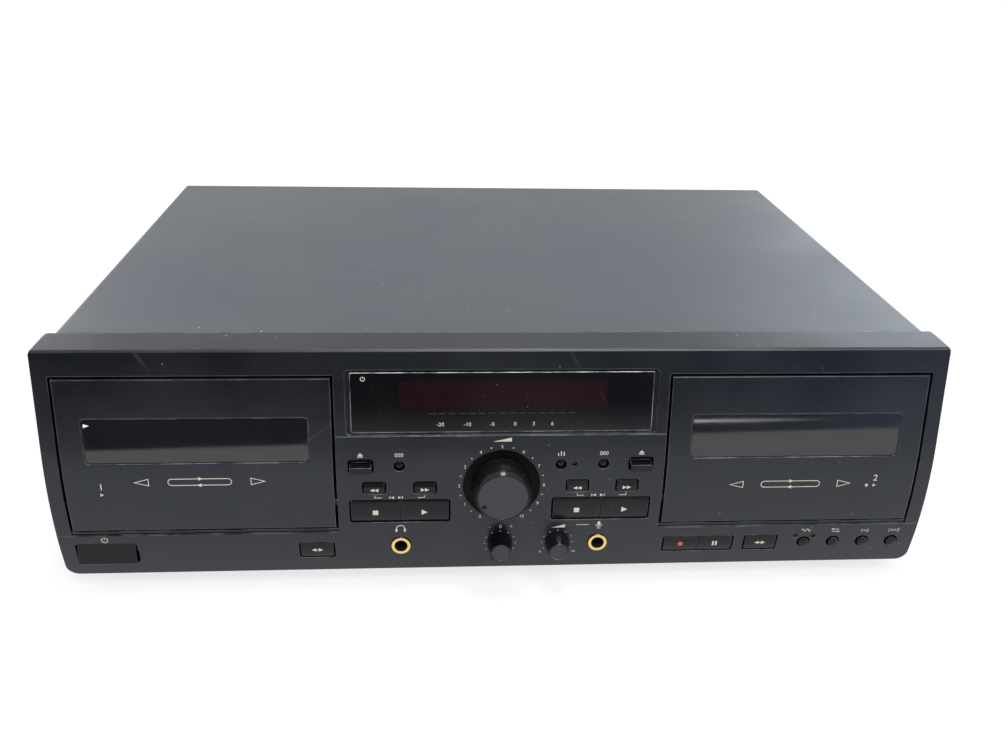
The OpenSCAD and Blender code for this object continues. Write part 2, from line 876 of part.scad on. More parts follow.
// Rotary control on the front board, bored for its knob's shaft
module control(x, d, w, shaft_r, front_y) {
    difference() {
        block(x - w / 2, x + w / 2, front_y, board_y, d - w / 2, d + w / 2);
        rod_y(x, d, front_y - 1, board_y - 1, shaft_r + fit);
    }
}

module front_board() {
    cut = 2 * socket_half + 0.9;
    difference() {
        union() {
            block(-board_w / 2, board_w / 2, board_y, board_y + board_t, display_drop + 0.5, strip_bottom);
            block(-opening_out + 3, opening_out + 2, board_y, board_y + board_t, strip_top, strip_bottom);
        }
        for (s = [-1, 1]) block(s * group_x - cut / 2, s * group_x + cut / 2, board_y - 1, board_y + 3,
            socket_drop - cut / 2, socket_drop + cut / 2);
    }
}

module switch(x, d) {
    half = switch_w / 2;
    block(x - half, x + half, board_y - switch_t, board_y, d - half, d + half);
    rod_y(x, d, switch_y, board_y - switch_t, stem_r);
}

// Lamp on the front board, with a round tip just inside the front's surface
module lamp(x, d) {
    tip = nearest_front(d, lamp_r) + lamp_r + 0.6;
    translate([x, tip, -d]) sphere(r = lamp_r);
    rod_y(x, d, tip, board_y + 0.5, lamp_r);
}

// Board on stand-offs on the chassis floor, with its larger parts
module main_board() {
    floor_d = fascia_h - sheet;
    y1 = back_in - main_back;
    y0 = y1 - main_len;
    x0 = line_x - main_side;
    x1 = core_x - core_foot - main_gap;
    top_d = floor_d - stand_h - board_t;
    block(x0, x1, y0, y1, top_d, floor_d - stand_h);
    for (x = [x0 + stand_in, x1 - stand_in], y = [y0 + stand_in, y1 - stand_in])
        translate([x, y, -floor_d]) cylinder(r = stand_r, h = stand_h);
    for (i = [0:4]) translate([x0 + 5 * can_r + i * can_pitch, y1 - 4 * can_r, -top_d])
        cylinder(r = can_r + i % 2 * can_r / 3, h = can_h + i % 2 * can_h * 0.4);
    for (i = [0:3]) block(x0 + chip_w + i * chip_pitch, x0 + 2 * chip_w + i * chip_pitch,
        y0 + chip_len, y0 + 2 * chip_len, top_d - chip_t, top_d);
    for (i = [0:6]) block(x1 - fin_in + i * fin_pitch, x1 - fin_in + fin_t + i * fin_pitch,
        y1 - fin_len - fin_back, y1 - fin_back, top_d - fin_h, top_d);
}

module circuit_boards() {
    color([0.2, 0.32, 0.18]) in_place() {
        front_board();
        for (p = key_places) switch(p[0], p[1]);
        for (p = lamp_places) lamp(p[0], p[1]);
        control(0, level_drop, 17, level_shaft_r, 4);
        for (x = [0, mix_x]) control(x, socket_drop, 10.5, small_shaft_r, 5);
        main_board();
    }
}

module transformer() {
    floor_d = fascia_h - sheet;
    y = back_in - core_back;
    color([0.45, 0.42, 0.38]) in_place() {
        block(core_x - core_foot, core_x + core_foot, y - core_half, y + core_half,
            floor_d - core_base, floor_d);
        block(core_x - core_w / 2, core_x + core_w / 2, y - core_half, y + core_half,
            floor_d - core_h, floor_d - core_base);
        both_sides_of(y) block(core_x - coil_half, core_x + coil_half, core_half, core_half + coil_out,
            floor_d - coil_top, floor_d - coil_low);
    }
}

// Two copies, one on each side of a depth
module both_sides_of(y) {
    translate([0, y, 0]) {
        children();
        mirror([0, 1, 0]) children();
    }
}

// Phone-plug socket: a turned ring through the panel and a moulded body behind it
module front_socket(x) {
    ring_y = nearest_front(socket_drop, ring_r) - 0.5;
    body_y = deepest_front(socket_drop, 8) + wall * 1.05 + slack;
    difference() {
        union() {
            rod_y(x, socket_drop, ring_y, body_y + 1, ring_r);
            block(x - socket_half, x + socket_half, body_y, ring_y + jack_depth + 2,
                socket_drop - socket_half, socket_drop + socket_half);
        }
        rod_y(x, socket_drop, ring_y - 1, ring_y + jack_depth, jack_r);
    }
}

module front_sockets() {
    color([0.8, 0.66, 0.3]) in_place() for (s = [-1, 1]) front_socket(s * group_x);
}

// Line sockets: a moulded block inside the back, and a collar through the back with a barrel for each plug
module line_sockets() {
    half = line_pitch;
    block_t = 11;
    hole_d = 3;
    collar_y = back_y + collar_out;
    color([0.75, 0.75, 0.72]) in_place() difference() {
        union() {
            block(line_x - half, line_x + half, back_in - block_t, back_in,
                line_drop - half, line_drop + half);
            line_places() rod_y(0, 0, back_in - 1, collar_y, line_r + collar_t);
            line_places() rod_y(0, 0, back_in, rear_tip, line_r);
        }
        line_places() rod_y(0, 0, back_in - hole_d, rear_tip + 1, line_hole_r);
    }
}

module mains_gland() {
    flange = 3;
    color([0.1, 0.1, 0.1]) in_place() difference() {
        union() {
            rod_y(gland_x, gland_drop, back_y, back_y + flange, gland_r + 4);
            rod_y(gland_x, gland_drop, back_y + flange - gland_len, back_y + 1, gland_r + 2);
        }
        rod_y(gland_x, gland_drop, back_y - far, back_y + far, gland_r);
    }
}

// Plates, posts and bearings of one mechanism, and its motor
module mechanism(x) {
    motor_y = back_plate_y + plate_t + fit;
    color([0.55, 0.55, 0.56]) in_place() translate([x, 0, 0]) {
        difference() {
            union() {
                block(-plate_w / 2, plate_w / 2, plate_y, plate_y + plate_t, plate_top, plate_bottom);
                block(-back_plate_half, back_plate_half, back_plate_y, back_plate_y + plate_t,
                    back_plate_top, plate_bottom);
                for (i = [-1, 1]) {
                    rod_y(i * stay_x, back_plate_top + 4, plate_y + 1, back_plate_y + 1, stay_r);
                    rod_y(i * stay_x, plate_bottom - 4, plate_y + 1, back_plate_y + 1, stay_r);
                    rod_y(i * capstan_x, capstan_drop, plate_y + 1, plate_y + bearing_len, bearing_r);
                    rod_y(i * reel_x, reel_drop, spindle_tip + 2.3, plate_y + 1, post_r);
                    rod_y(i * guide_x, guide_drop, plate_y - carriage_t - 0.6, plate_y + 1, guide_r);
                }
            }
            for (i = [-1, 1])
                rod_y(i * capstan_x, capstan_drop, 0, back_plate_y + thrust_depth, capstan_r + fit);
            rod_y(pulley_x, pulley_drop, back_plate_y - 1, motor_y + 1, capstan_r + 1);
        }
        difference() {
            rod_y(pulley_x, pulley_drop, motor_y, motor_y + motor_len, motor_r);
            rod_y(pulley_x, pulley_drop, motor_y - 1, motor_y + shaft_in_motor + 1, capstan_r + fit);
        }
    }
}

module mechanism_a() {
    mechanism(-deck_x);
}

module mechanism_b() {
    mechanism(deck_x);
}

// Belt path: it runs round the pulley and the left flywheel and bears with its outside on the right flywheel.
// Angle at which a straight run leaves circle p and meets circle q on the other side, q lying to its right
function run_angle(p, q, rp, rq) = atan2(q[1] - p[1], q[0] - p[0]) + asin((rp + rq) / norm(q - p));
left_axis = [-capstan_x, -capstan_drop];
right_axis = [capstan_x, -capstan_drop];
pulley_axis = [pulley_x, -pulley_drop];
inner_r = flywheel_r + belt_gap;
inner_pulley_r = pulley_r + belt_gap;

module belt_area(grow) {
    rl = inner_r + grow;
    rr = inner_r + belt_t - grow;
    rp = inner_pulley_r + grow;
    a = run_angle(left_axis, right_axis, rl, rr);
    b = atan2(pulley_axis[1] - right_axis[1], pulley_axis[0] - right_axis[0])
        - asin((rp + rr) / norm(pulley_axis - right_axis));
    along = pulley_axis - left_axis;
    ease = 0.02;
    c = atan2(along[1], along[0]) + acos((rl - rp) / norm(along));
    low_run = [sin(a), -cos(a)];
    short_run = [sin(b), -cos(b)];
    top_run = [cos(c), sin(c)];
    translate(left_axis) circle(r = rl);
    translate(pulley_axis) circle(r = rp);
    difference() {
        polygon([
            left_axis, left_axis + (rl - ease) * top_run, pulley_axis + (rp - ease) * top_run,
            pulley_axis, pulley_axis + (rp - ease) * short_run, right_axis - (rr - ease) * short_run,
            right_axis, right_axis - (rr - ease) * low_run, left_axis + (rl - ease) * low_run]);
        translate(right_axis) circle(r = rr);
    }
}

module drive_belts() {
    y0 = wheel_y + (flywheel_t - belt_w) / 2;
    color([0.06, 0.06, 0.06]) in_place() for (s = [-1, 1]) translate([s * deck_x, 0, 0])
        along_y(y0, y0 + belt_w) difference() {
            belt_area(belt_t);
            belt_area(0);
        }
}

module capstan(x) {
    color([0.7, 0.68, 0.6]) in_place() {
        rod_y(x, capstan_drop, spindle_tip, back_plate_y + thrust_depth - 0.3, capstan_r);
        difference() {
            rod_y(x, capstan_drop, wheel_y, wheel_y + flywheel_t, flywheel_r);
            rod_y(x, capstan_drop, wheel_y + 3, wheel_y + flywheel_t + 1, flywheel_r - 4);
        }
    }
}

module left_capstan_a() {
    capstan(-deck_x - capstan_x);
}

module right_capstan_a() {
    capstan(-deck_x + capstan_x);
}

module left_capstan_b() {
    capstan(deck_x - capstan_x);
}

module right_capstan_b() {
    capstan(deck_x + capstan_x);
}

// Reel: base disc, spindle with three drive fins and a pointed tip, running on a post
module reel(x) {
    y1 = plate_y - slack;
    y0 = y1 - reel_t;
    fin = 1.3;
    color([0.85, 0.85, 0.82]) in_place() difference() {
        union() {
            rod_y(x, reel_drop, y0, y1, reel_r);
            rod_y(x, reel_drop, spindle_tip + 1, y0 + 1, spindle_r);
            cone_y(x, reel_drop, spindle_tip, spindle_tip + 1, spindle_r - 1.4, spindle_r);
            for (i = [0:2]) translate([x, 0, -reel_drop]) rotate([0, 120 * i, 0])
                block(-fin / 2, fin / 2, spindle_tip + 1.4, y0 + 1, -spindle_r - 1.4, 0);
        }
        rod_y(x, reel_drop, spindle_tip + 2, y1 + 1, post_r + fit);
    }
}

module left_reel_a() {
    reel(-deck_x - reel_x);
}

module right_reel_a() {
    reel(-deck_x + reel_x);
}

module left_reel_b() {
    reel(deck_x - reel_x);
}

module right_reel_b() {
    reel(deck_x + reel_x);
}

module motor_pulley(x) {
    color([0.78, 0.66, 0.35]) in_place() {
        rod_y(x + pulley_x, pulley_drop, wheel_y, wheel_y + flywheel_t, pulley_r);
        rod_y(x + pulley_x, pulley_drop, wheel_y + 1, back_plate_y + plate_t + shaft_in_motor, capstan_r);
    }
}

module motor_pulley_a() {
    motor_pulley(-deck_x);
}

module motor_pulley_b() {
    motor_pulley(deck_x);
}

// Carriage with the head in the middle and a pinch roller under each capstan, forked over two guide studs
module head_carriage(x) {
    y1 = plate_y - slack;
    y0 = y1 - carriage_t;
    color([0.72, 0.72, 0.74]) in_place() translate([x, 0, 0]) difference() {
        union() {
            block(-carriage_half, carriage_half, y0, y1, carriage_top, carriage_bottom);
            block(-head_half, head_half, spindle_tip + 0.5, y0 + 1, head_top, carriage_bottom);
            for (i = [-1, 1]) {
                rod_y(i * capstan_x, roller_rest, spindle_tip + 0.5, y0 - 0.6, roller_r);
                rod_y(i * capstan_x, roller_rest, spindle_tip + 1, y0 + 1, roller_r - 2.4);
            }
        }
        for (i = [-1, 1]) block(i * guide_x - guide_r - 0.1, i * guide_x + guide_r + 0.1, y0 - 1, y1 + 1,
            guide_drop - guide_r - 0.1, carriage_bottom + 1);
    }
}

module head_carriage_a() {
    head_carriage(-deck_x);
}

module head_carriage_b() {
    head_carriage(deck_x);
}

// Door with its window opening, hinge ears and pins, and a lower edge that is round about the hinge
module door(side) {
    x0 = opening_in + door_gap;
    x1 = opening_out - door_gap;
    top = opening_top + door_gap;
    past = door_edge + 0.5;
    color([0.1, 0.1, 0.11]) in_place() mirror([side < 0 ? 1 : 0, 0, 0]) difference() {
        union() {
            skin(x0, x1, top, ledge_drop, 0, door_t);
            intersection() {
                union() {
                    rod_x(hinge_y, hinge_drop, x0, x0 + ear_t, ear_r);
                    rod_x(hinge_y, hinge_drop, x1 - ear_t, x1, ear_r);
                }
                behind_front(door_t / 2, far);
            }
            rod_x(hinge_y, hinge_drop, opening_in - pin_len, x0 + 1, pin_r);
            rod_x(hinge_y, hinge_drop, x1 - 1, opening_out + pin_len, pin_r);
        }
        along_y(-far, far) round_rect(deck_x, window_drop + window_h / 2, window_w, window_h, window_r);
        along_x(x0 - 1, x1 + 1) polygon([[front(top) + past, -top + past - door_edge],
            [front(top) - past, -top - past - lean * 0.5], [front(top) - past, -top + past - door_edge]]);
        difference() {
            block(x0 - 0.5, x1 + 0.5, -far, far, hinge_drop, ledge_drop + 1);
            rod_x(hinge_y, hinge_drop, x0 - 1, x1 + 1, round_r);
        }
    }
}

module door_a() {
    door(-1);
}

module door_b() {
    door(1);
}

module door_window(side) {
    w = window_w - 2 * lens_gap;
    h = window_h - 2 * lens_gap;
    color([0.25, 0.25, 0.28]) in_place() mirror([side < 0 ? 1 : 0, 0, 0]) intersection() {
        skin(deck_x - w, deck_x + w, window_drop, window_drop + window_h, 0.4, lens_t);
        along_y(-far, far) round_rect(deck_x, window_drop + window_h / 2, w, h, window_r - lens_gap);
    }
}

module door_window_a() {
    door_window(-1);
}

module door_window_b() {
    door_window(1);
}

// Holder on the back of a door: two channelled rails with ledges for the cassette, joined by a cross bar
module cassette_holder(x) {
    bar_back = 0.5;
    bar_low = cassette_base + 4;
    shelf = 6.9;
    shelf_t = 2;
    color([0.14, 0.14, 0.15]) in_place() intersection() {
        translate([x, 0, 0]) {
            block(-bay_half - rail_t, bay_half + rail_t, -far, bar_back, cassette_base, bar_low);
            both_sides() {
                block(bay_half, bay_half + rail_t, -far, rail_back, cassette_top, bar_low);
                block(bay_half - 2, bay_half + 1, rail_back - rail_lip, rail_back,
                    cassette_top, cassette_base + shelf_t);
                block(bay_half - shelf, bay_half + 1, bar_back + 1, rail_back,
                    cassette_base, cassette_base + shelf_t);
            }
        }
        behind_front(door_t + 0.1, far);
        union() {
            block(-body_w, body_w, -far, far, 0, hinge_drop);
            rod_x(hinge_y, hinge_drop, -body_w, body_w, plate_y - hinge_y - 0.5);
        }
    }
}

module cassette_holder_a() {
    cassette_holder(-deck_x);
}

module cassette_holder_b() {
    cassette_holder(deck_x);
}

function flange_y(d, h) = deepest_front(d, h / 2 + 1) + wall * 1.04 + slack;
function stem_end(travel) = switch_y - travel - 0.1;

// Centre, in y and z, of a round whose foremost line lies a sink behind the bowed surface at a drop
function crown_at(d, sink, r) =
    [front(d) + sink + r * (bow_cy - front(d)) / bow_r, -d + r * (d - bow_cd) / bow_r];

// Part of a key behind its face: a flange behind the panel and a stem to its switch
module key_back(x, d, w, h, y, travel) {
    block(x - w / 2, x + w / 2, y, y + flange_t, d - h / 2 - flange_rim, d + h / 2 + flange_rim);
    rod_y(x, d, y, stem_end(travel), stem_r);
}

// Key with a crowned face
module key(x, d, w, h, sink, travel) {
    y = flange_y(d, h);
    color([0.13, 0.13, 0.14]) in_place() {
        intersection() {
            along_y(-far, y + 0.5) round_rect(x, d, w, h, key_corner);
            along_x(x - w, x + w) translate(crown_at(d, sink, crown_r)) circle(r = crown_r, $fn = 180);
        }
        key_back(x, d, w, h, y, travel);
    }
}

// Key whose upper half falls back, from a start above its middle, and whose lower half is flat
module wedge_key(x, d, w, h, sink, out, start) {
    y = flange_y(d, h);
    face = front(d);
    color([0.16, 0.17, 0.19]) in_place() {
        intersection() {
            along_y(-far, y + 0.5) round_rect(x, d, w, h, key_corner);
            along_x(x - w, x + w) polygon([[face + sink, -d + h], [face + sink, -d + h * start],
                [face - out, -d + h * 0.08], [face - out, -d - h], [y + 1, -d - h], [y + 1, -d + h]]);
        }
        key_back(x, d, w, h, y, key_travel);
    }
}

// Round key with a domed face
module round_key(x, d, r, sink, dome_r) {
    y = flange_y(d, 2 * (r + end_clear));
    face = front(d) + sink;
    color([0.13, 0.13, 0.14]) in_place() {
        intersection() {
            rod_y(x, d, face - 1, y + 0.5, r);
            translate([x, face + dome_r, -d]) sphere(r = dome_r);
        }
        rod_y(x, d, y, y + flange_t, r + end_clear + 0.5);
        rod_y(x, d, y, stem_end(key_travel), min(stem_r, r));
    }
}

// Power key: its face slopes forward to a round lower edge
module power_key() {
    d = bottom_row_drop;
    y = flange_y(d, power_h);
    tip = [front(d) - power_out + power_edge_r, -d - power_h / 2 + power_edge_r];
    touch = tip + power_edge_r * [-cos(power_tilt), sin(power_tilt)];
    above = -d + power_h;
    low = -d - power_h / 2;
    color([0.13, 0.13, 0.14]) in_place() {
        intersection() {
            along_y(-far, y + 0.5) round_rect(-power_x, d, power_w, power_h + 1, key_corner);
            along_x(-power_x - power_w, -power_x + power_w) {
                translate(tip) circle(r = power_edge_r);
                polygon([touch, [touch[0] + (above - touch[1]) * tan(power_tilt), above], [y + 1, above],
                    [y + 1, low], [tip[0], low], tip]);
            }
            block(-body_w, body_w, -far, far, d - power_h / 2, d + power_h);
        }
        key_back(-power_x, d, power_w, power_h, y, power_travel);
    }
}

module eject_key_a() {
    wedge_key(-eject_x, top_row_drop, eject_w, eject_h, 2.4, 2.6, 0.16);
}

module eject_key_b() {
    wedge_key(eject_x, top_row_drop, eject_w, eject_h, 2.4, 2.6, 0.16);
}

module counter_key_a() {
    round_key(-group_x, top_row_drop, counter_r, 0.3, 3);
}

module counter_key_b() {
    round_key(group_x, top_row_drop, counter_r, 0.3, 3);
}

module match_key() {
    round_key(match_x, top_row_drop, counter_r, 0.3, 3);
}

module rewind_key_a() {
    wedge_key(-group_x - wind_x, wind_drop, wind_w, wind_h, 1.6, 0.1, 0.5);
}

module rewind_key_b() {
    wedge_key(group_x - wind_x, wind_drop, wind_w, wind_h, 1.6, 0.1, 0.5);
}

module forward_key_a() {
    wedge_key(-group_x + wind_x, wind_drop, wind_w, wind_h, 1.6, 0.1, 0.5);
}

module forward_key_b() {
    wedge_key(group_x + wind_x, wind_drop, wind_w, wind_h, 1.6, 0.1, 0.5);
}

module stop_key_a() {
    key(-group_x - play_x, play_drop, play_w, play_h, -0.3, key_travel);
}

module stop_key_b() {
    key(group_x - play_x, play_drop, play_w, play_h, -0.3, key_travel);
}

module play_key_a() {
    key(-group_x + play_x, play_drop, play_w, play_h, -0.3, key_travel);
}

module play_key_b() {
    key(group_x + play_x, play_drop, play_w, play_h, -0.3, key_travel);
}

module direction_key_a() {
    key(-direction_a_x, bottom_row_drop, direction_w, low_h, -0.2, key_travel);
}

module direction_key_b() {
    key(direction_b_x, bottom_row_drop, direction_w, low_h, -0.2, key_travel);
}

module record_key() {
    key(record_x - low_x, bottom_row_drop, low_w, low_h, -0.2, key_travel);
}

module pause_key() {
    key(record_x + low_x, bottom_row_drop, low_w, low_h, -0.2, key_travel);
}

module mode_key(i) {
    round_key(mode_x + i * mode_pitch, bottom_row_drop, mode_r, -1.4, 7);
}

module noise_key() {
    mode_key(0);
}

module reverse_mode_key() {
    mode_key(1);
}

module normal_copy_key() {
    mode_key(2);
}

module fast_copy_key() {
    mode_key(3);
}

// Knob: tapered skirt, dished cap inside a thin rim, and a shaft into its control
module knob(x, d, base_r, cap_r, face, rear, shaft_r, shaft_end) {
    rim = 0.7;
    difference() {
        union() {
            cone_y(x, d, face + 1, rear - 1, cap_r, base_r);
            rod_y(x, d, rear - 1, rear, base_r);
            rod_y(x, d, face, face + 1, cap_r);
        }
        rod_y(x, d, face - 1, face + 0.5, cap_r - rim);
    }
    rod_y(x, d, rear - 1, shaft_end, shaft_r);
}

// Turns a shape clockwise about a knob's axis, seen from the front
module turned(x, d, angle) {
    translate([x, 0, -d]) rotate([0, angle, 0]) children();
}

// Level knob with a dimple in its cap that shows the setting
module level_knob() {
    dimple_r = 1.3;
    dimple_out = level_cap_r - 2.2;
    color([0.12, 0.12, 0.13]) in_place() difference() {
        knob(0, level_drop, level_base_r, level_cap_r, front_tip, level_y, level_shaft_r, board_y - 2);
        turned(0, level_drop, 240) translate([0, front_tip + 0.3, dimple_out]) sphere(r = dimple_r);
    }
}

// Small knob with a pointer rib on its skirt
module small_knob(x, angle) {
    rib = 1.2;
    face = front(socket_drop) - small_out;
    rear = nearest_front(socket_drop, small_base_r) - slack;
    color([0.12, 0.12, 0.13]) in_place() {
        knob(x, socket_drop, small_base_r, small_cap_r, face, rear, small_shaft_r, board_y - 2);
        turned(x, socket_drop, angle)
            block(-rib / 2, rib / 2, face + 0.6, rear - 0.5, -small_base_r + 0.2, -small_cap_r + 1);
    }
}

module pitch_knob() {
    small_knob(0, 225);
}

module mix_knob() {
    small_knob(mix_x, 0);
}

chassis();
top_cover();
rear_panel();
upper_fascia();
lower_fascia();
display_window();
feet();
case_screws();
display_tube();
circuit_boards();
transformer();
front_sockets();
line_sockets();
mains_gland();
mechanism_a();
mechanism_b();
drive_belts();
door_a();
door_b();
door_window_a();
door_window_b();
cassette_holder_a();
cassette_holder_b();
power_key();
eject_key_a();
eject_key_b();
counter_key_a();
counter_key_b();
match_key();
rewind_key_a();
rewind_key_b();
forward_key_a();
forward_key_b();
stop_key_a();
stop_key_b();
play_key_a();
play_key_b();
direction_key_a();
direction_key_b();
record_key();
pause_key();
noise_key();
reverse_mode_key();
normal_copy_key();
fast_copy_key();
level_knob();
pitch_knob();
mix_knob();
head_carriage_a();
head_carriage_b();
left_capstan_a();
right_capstan_a();
left_capstan_b();
right_capstan_b();
left_reel_a();
right_reel_a();
left_reel_b();
right_reel_b();
motor_pulley_a();
motor_pulley_b();
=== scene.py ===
"""Looks of a double cassette deck: finishes for its CAD nodes, a turned knob, printed marks, a display and a stage."""

import math

import bmesh
import bpy
from bpy.props import FloatProperty, FloatVectorProperty, IntProperty, PointerProperty
from mathutils import Matrix, Vector


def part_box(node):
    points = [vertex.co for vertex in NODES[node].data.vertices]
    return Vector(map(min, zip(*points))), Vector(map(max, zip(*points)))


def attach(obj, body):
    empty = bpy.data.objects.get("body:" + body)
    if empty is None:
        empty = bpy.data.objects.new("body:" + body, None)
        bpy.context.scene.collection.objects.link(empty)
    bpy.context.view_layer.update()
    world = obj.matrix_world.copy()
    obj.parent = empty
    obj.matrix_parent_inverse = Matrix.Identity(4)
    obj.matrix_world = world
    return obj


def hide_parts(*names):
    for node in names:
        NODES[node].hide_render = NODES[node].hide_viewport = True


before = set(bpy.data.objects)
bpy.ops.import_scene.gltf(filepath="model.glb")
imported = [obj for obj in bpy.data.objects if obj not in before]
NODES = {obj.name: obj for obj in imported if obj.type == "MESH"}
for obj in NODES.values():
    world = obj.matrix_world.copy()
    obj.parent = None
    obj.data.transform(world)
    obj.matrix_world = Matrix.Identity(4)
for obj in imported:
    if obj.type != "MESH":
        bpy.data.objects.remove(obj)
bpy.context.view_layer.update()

bl_info = {
    "name": "Double Cassette Deck Looks",
    "version": (1, 0, 0),
    "blender": (4, 5, 0),
    "location": "View3D > Sidebar > Cassette Deck",
    "description": "Finishes, printed marks and a studio stage for a double cassette deck",
    "category": "Object",
}

MM = 0.001

# Bowed front, in millimetres: drop is measured down from the front's top edge, back from that edge to the rear
LEAN = 0.13
BOW_START = 49.5
BOW_R = 190.0
BOW_BACK = BOW_R * math.cos(math.atan(LEAN)) - LEAN * BOW_START
BOW_DROP = BOW_START + BOW_R * math.sin(math.atan(LEAN))
MID_BACK = 141.81756
FRONT_TOP = 131.3
CROWN_R = 20.0
WELL_DEPTH = 1.4
LENS_INSET = 0.3
POINTER_INSET = 0.4
POINTER_PLACE = (-195.5, 36.4)

# Places across the front, x in millimetres
DECK_X = 145.4
GROUP_X = 50.0
EJECT_X = 68.6
MATCH_X = 28.9
WIND_X = 12.4
PLAY_X = 12.1
LOW_X = 9.0
RECORD_X = 102.6
DIRECTION_X = {"a": -92.0, "b": 135.6}
POWER_X = -195.2
MIX_X = 29.3
MODE_X = (158.8, 174.4, 190.0, 205.6)
FILTER_X = (-49.4, 49.7)

# Rows on the front, drop in millimetres
DIAL_DROP = 69.4
SMALL_DROP = 104.9
WIND_ROW = 70.0
PLAY_ROW = 83.4
BOTTOM_ROW = 107.5
WIND_SIGNS = 71.3
PLAY_SIGNS = 84.2
LEVEL_SIGN = 44.9
EJECT_SIGNS = 52.2
COUNTER_SIGNS = 52.4
SCAN_SIGNS = 75.5
SOCKET_SIGNS = 94.0
POWER_SIGN = 98.9
MODE_SIGNS = 100.0
DIAL_ENDS = 111.4
DOOR_NUMBERS = 67.6
DOOR_ARROWS = 71.9
DASH_ROW = 31.6
SCALE_ROW = 37.0
FILTER_ROWS = (FRONT_TOP - 28.6, FRONT_TOP - 15.6)
# Rows of the display lens's painted sheen, lighter towards its lower edge
PAINTED_SHEEN_ROWS = (FRONT_TOP - 48.0, FRONT_TOP - 32.0)

# Plain gloss of the mouldings, on the shader's own sockets
FRONT_GLOSS = {"Specular IOR Level": 0.48, "Specular Tint": (0.89, 0.935, 1.0)}

GROUPS = {}
FINISHES = {}


def front_back(drop):
    """How far back the bowed surface lies at a drop."""
    if drop <= BOW_START:
        return -LEAN * drop
    return BOW_BACK - math.sqrt(BOW_R ** 2 - (drop - BOW_DROP) ** 2)


def well_floor(drop):
    """How far back the floor of the level knob's well lies: the bow set in by the well's depth."""
    return BOW_BACK - math.sqrt((BOW_R - WELL_DEPTH) ** 2 - (drop - BOW_DROP) ** 2)


def set_in(depth):
    """A function that says how far back a surface lies that is set in from the front."""
    return lambda drop: front_back(drop) + depth


def crown_back(row, ahead):
    """For a crowned key in a row: a function that says how far back its face lies at a drop."""
    back = front_back(row) - ahead + CROWN_R * (BOW_BACK - front_back(row)) / BOW_R
    middle = row - CROWN_R * (row - BOW_DROP) / BOW_R
    return lambda drop: back - math.sqrt(CROWN_R ** 2 - (drop - middle) ** 2)


def place(x, back, drop):
    """A place in the front's own millimetres as a point of the CAD frame."""
    return Vector((x, back - MID_BACK, FRONT_TOP - drop)) * MM


def clock_point(x, drop, r, turn):
    """A point on a circle, its turn in radians clockwise from the top."""
    return x + r * math.sin(turn), drop - r * math.cos(turn)


# Flat shapes for the prints: each is a list of outlines, each outline a list of (x, drop)

def disc(x, drop, r, steps=20):
    return [[clock_point(x, drop, r, 2 * math.pi * i / steps) for i in range(steps)]]


def box(x, drop, w, h):
    return [[(x + i * w / 2, drop + j * h / 2) for i, j in ((-1, -1), (1, -1), (1, 1), (-1, 1))]]


def arrow(x, drop, w, h, way):
    """A filled triangle that points left (-1) or right (1)."""
    return [[(x + way * w / 2, drop), (x - way * w / 2, drop + h / 2), (x - way * w / 2, drop - h / 2)]]


def stroke(points, width, closed=False):
    """A line of even width through points, as one quad for each stretch, mitred where two meet."""
    sharpest = 0.35
    pts = [Vector(p) for p in points]
    n = len(pts)
    sides = []
    for i, p in enumerate(pts):
        before = pts[i - 1] if closed or i > 0 else None
        after = pts[(i + 1) % n] if closed or i < n - 1 else None
        ways = [(b - a).normalized() for a, b in ((before, p), (p, after)) if a is not None and b is not None]
        across = [Vector((-w.y, w.x)) for w in ways]
        mean = sum(across, Vector((0, 0))).normalized()
        reach = width / 2 / max(sharpest, mean.dot(across[0]))
        sides.append((p + mean * reach, p - mean * reach))
    quads = []
    for i in range(n if closed else n - 1):
        a, b = sides[i], sides[(i + 1) % n]
        quads.append([tuple(a[0]), tuple(b[0]), tuple(b[1]), tuple(a[1])])
    return quads


def arc(x, drop, r, start, end, width, steps=24):
    """A round line, its angles in degrees clockwise from the top."""
    turns = [math.radians(start + (end - start) * i / steps) for i in range(steps + 1)]
    return stroke([clock_point(x, drop, r, t) for t in turns], width)


def hollow_arrow(x, drop, w, h, way, width):
    return stroke(arrow(x, drop, w, h, way)[0], width, closed=True)


def figures(text, x, drop, height):
    """Numbers and signs, centred on a place."""
    built_in_height = 0.69
    curve = bpy.data.curves.new("figures", "FONT")
    curve.body = text
    curve.align_x = "CENTER"
    curve.resolution_u = 3
    holder = bpy.data.objects.new("figures", curve)
    bpy.context.scene.collection.objects.link(holder)
    mesh = evaluated_mesh(holder)
    size = height / built_in_height
    outlines = [[(x + mesh.vertices[i].co.x * size, drop + height / 2 - mesh.vertices[i].co.y * size)
                 for i in face.vertices] for face in mesh.polygons]
    bpy.data.objects.remove(holder)
    bpy.data.curves.remove(curve)
    bpy.data.meshes.remove(mesh)
    return outlines


def eject_sign(x, drop):
    return [[(x - 1.3, drop + 0.3), (x + 1.3, drop + 0.3), (x, drop - 1.1)]] + box(x, drop + 0.9, 2.6, 0.5)


def double_arrow(x, drop, way):
    return arrow(x - 1.05, drop, 2.1, 1.9, way) + arrow(x + 1.05, drop, 2.1, 1.9, way)


def both_ways(x, drop):
    return arrow(x - 1.75, drop, 2.2, 2.2, -1) + arrow(x + 1.75, drop, 2.2, 2.2, 1) + box(x, drop, 1.1, 0.5)


def pause_sign(x, drop):
    return box(x - 0.8, drop, 0.95, 2.9) + box(x + 0.8, drop, 0.95, 2.9)


def skip_sign(x, drop, way):
    return arrow(x, drop, 1.6, 1.5, way) + box(x + way * 1.3, drop, 0.4, 1.5)


def headphone_sign(x, drop):
    pads = box(x - 2.1, drop + 1.4, 1.0, 1.9) + box(x + 2.1, drop + 1.4, 1.0, 1.9)
    return arc(x, drop + 0.5, 2.1, -90, 90, 0.4) + pads


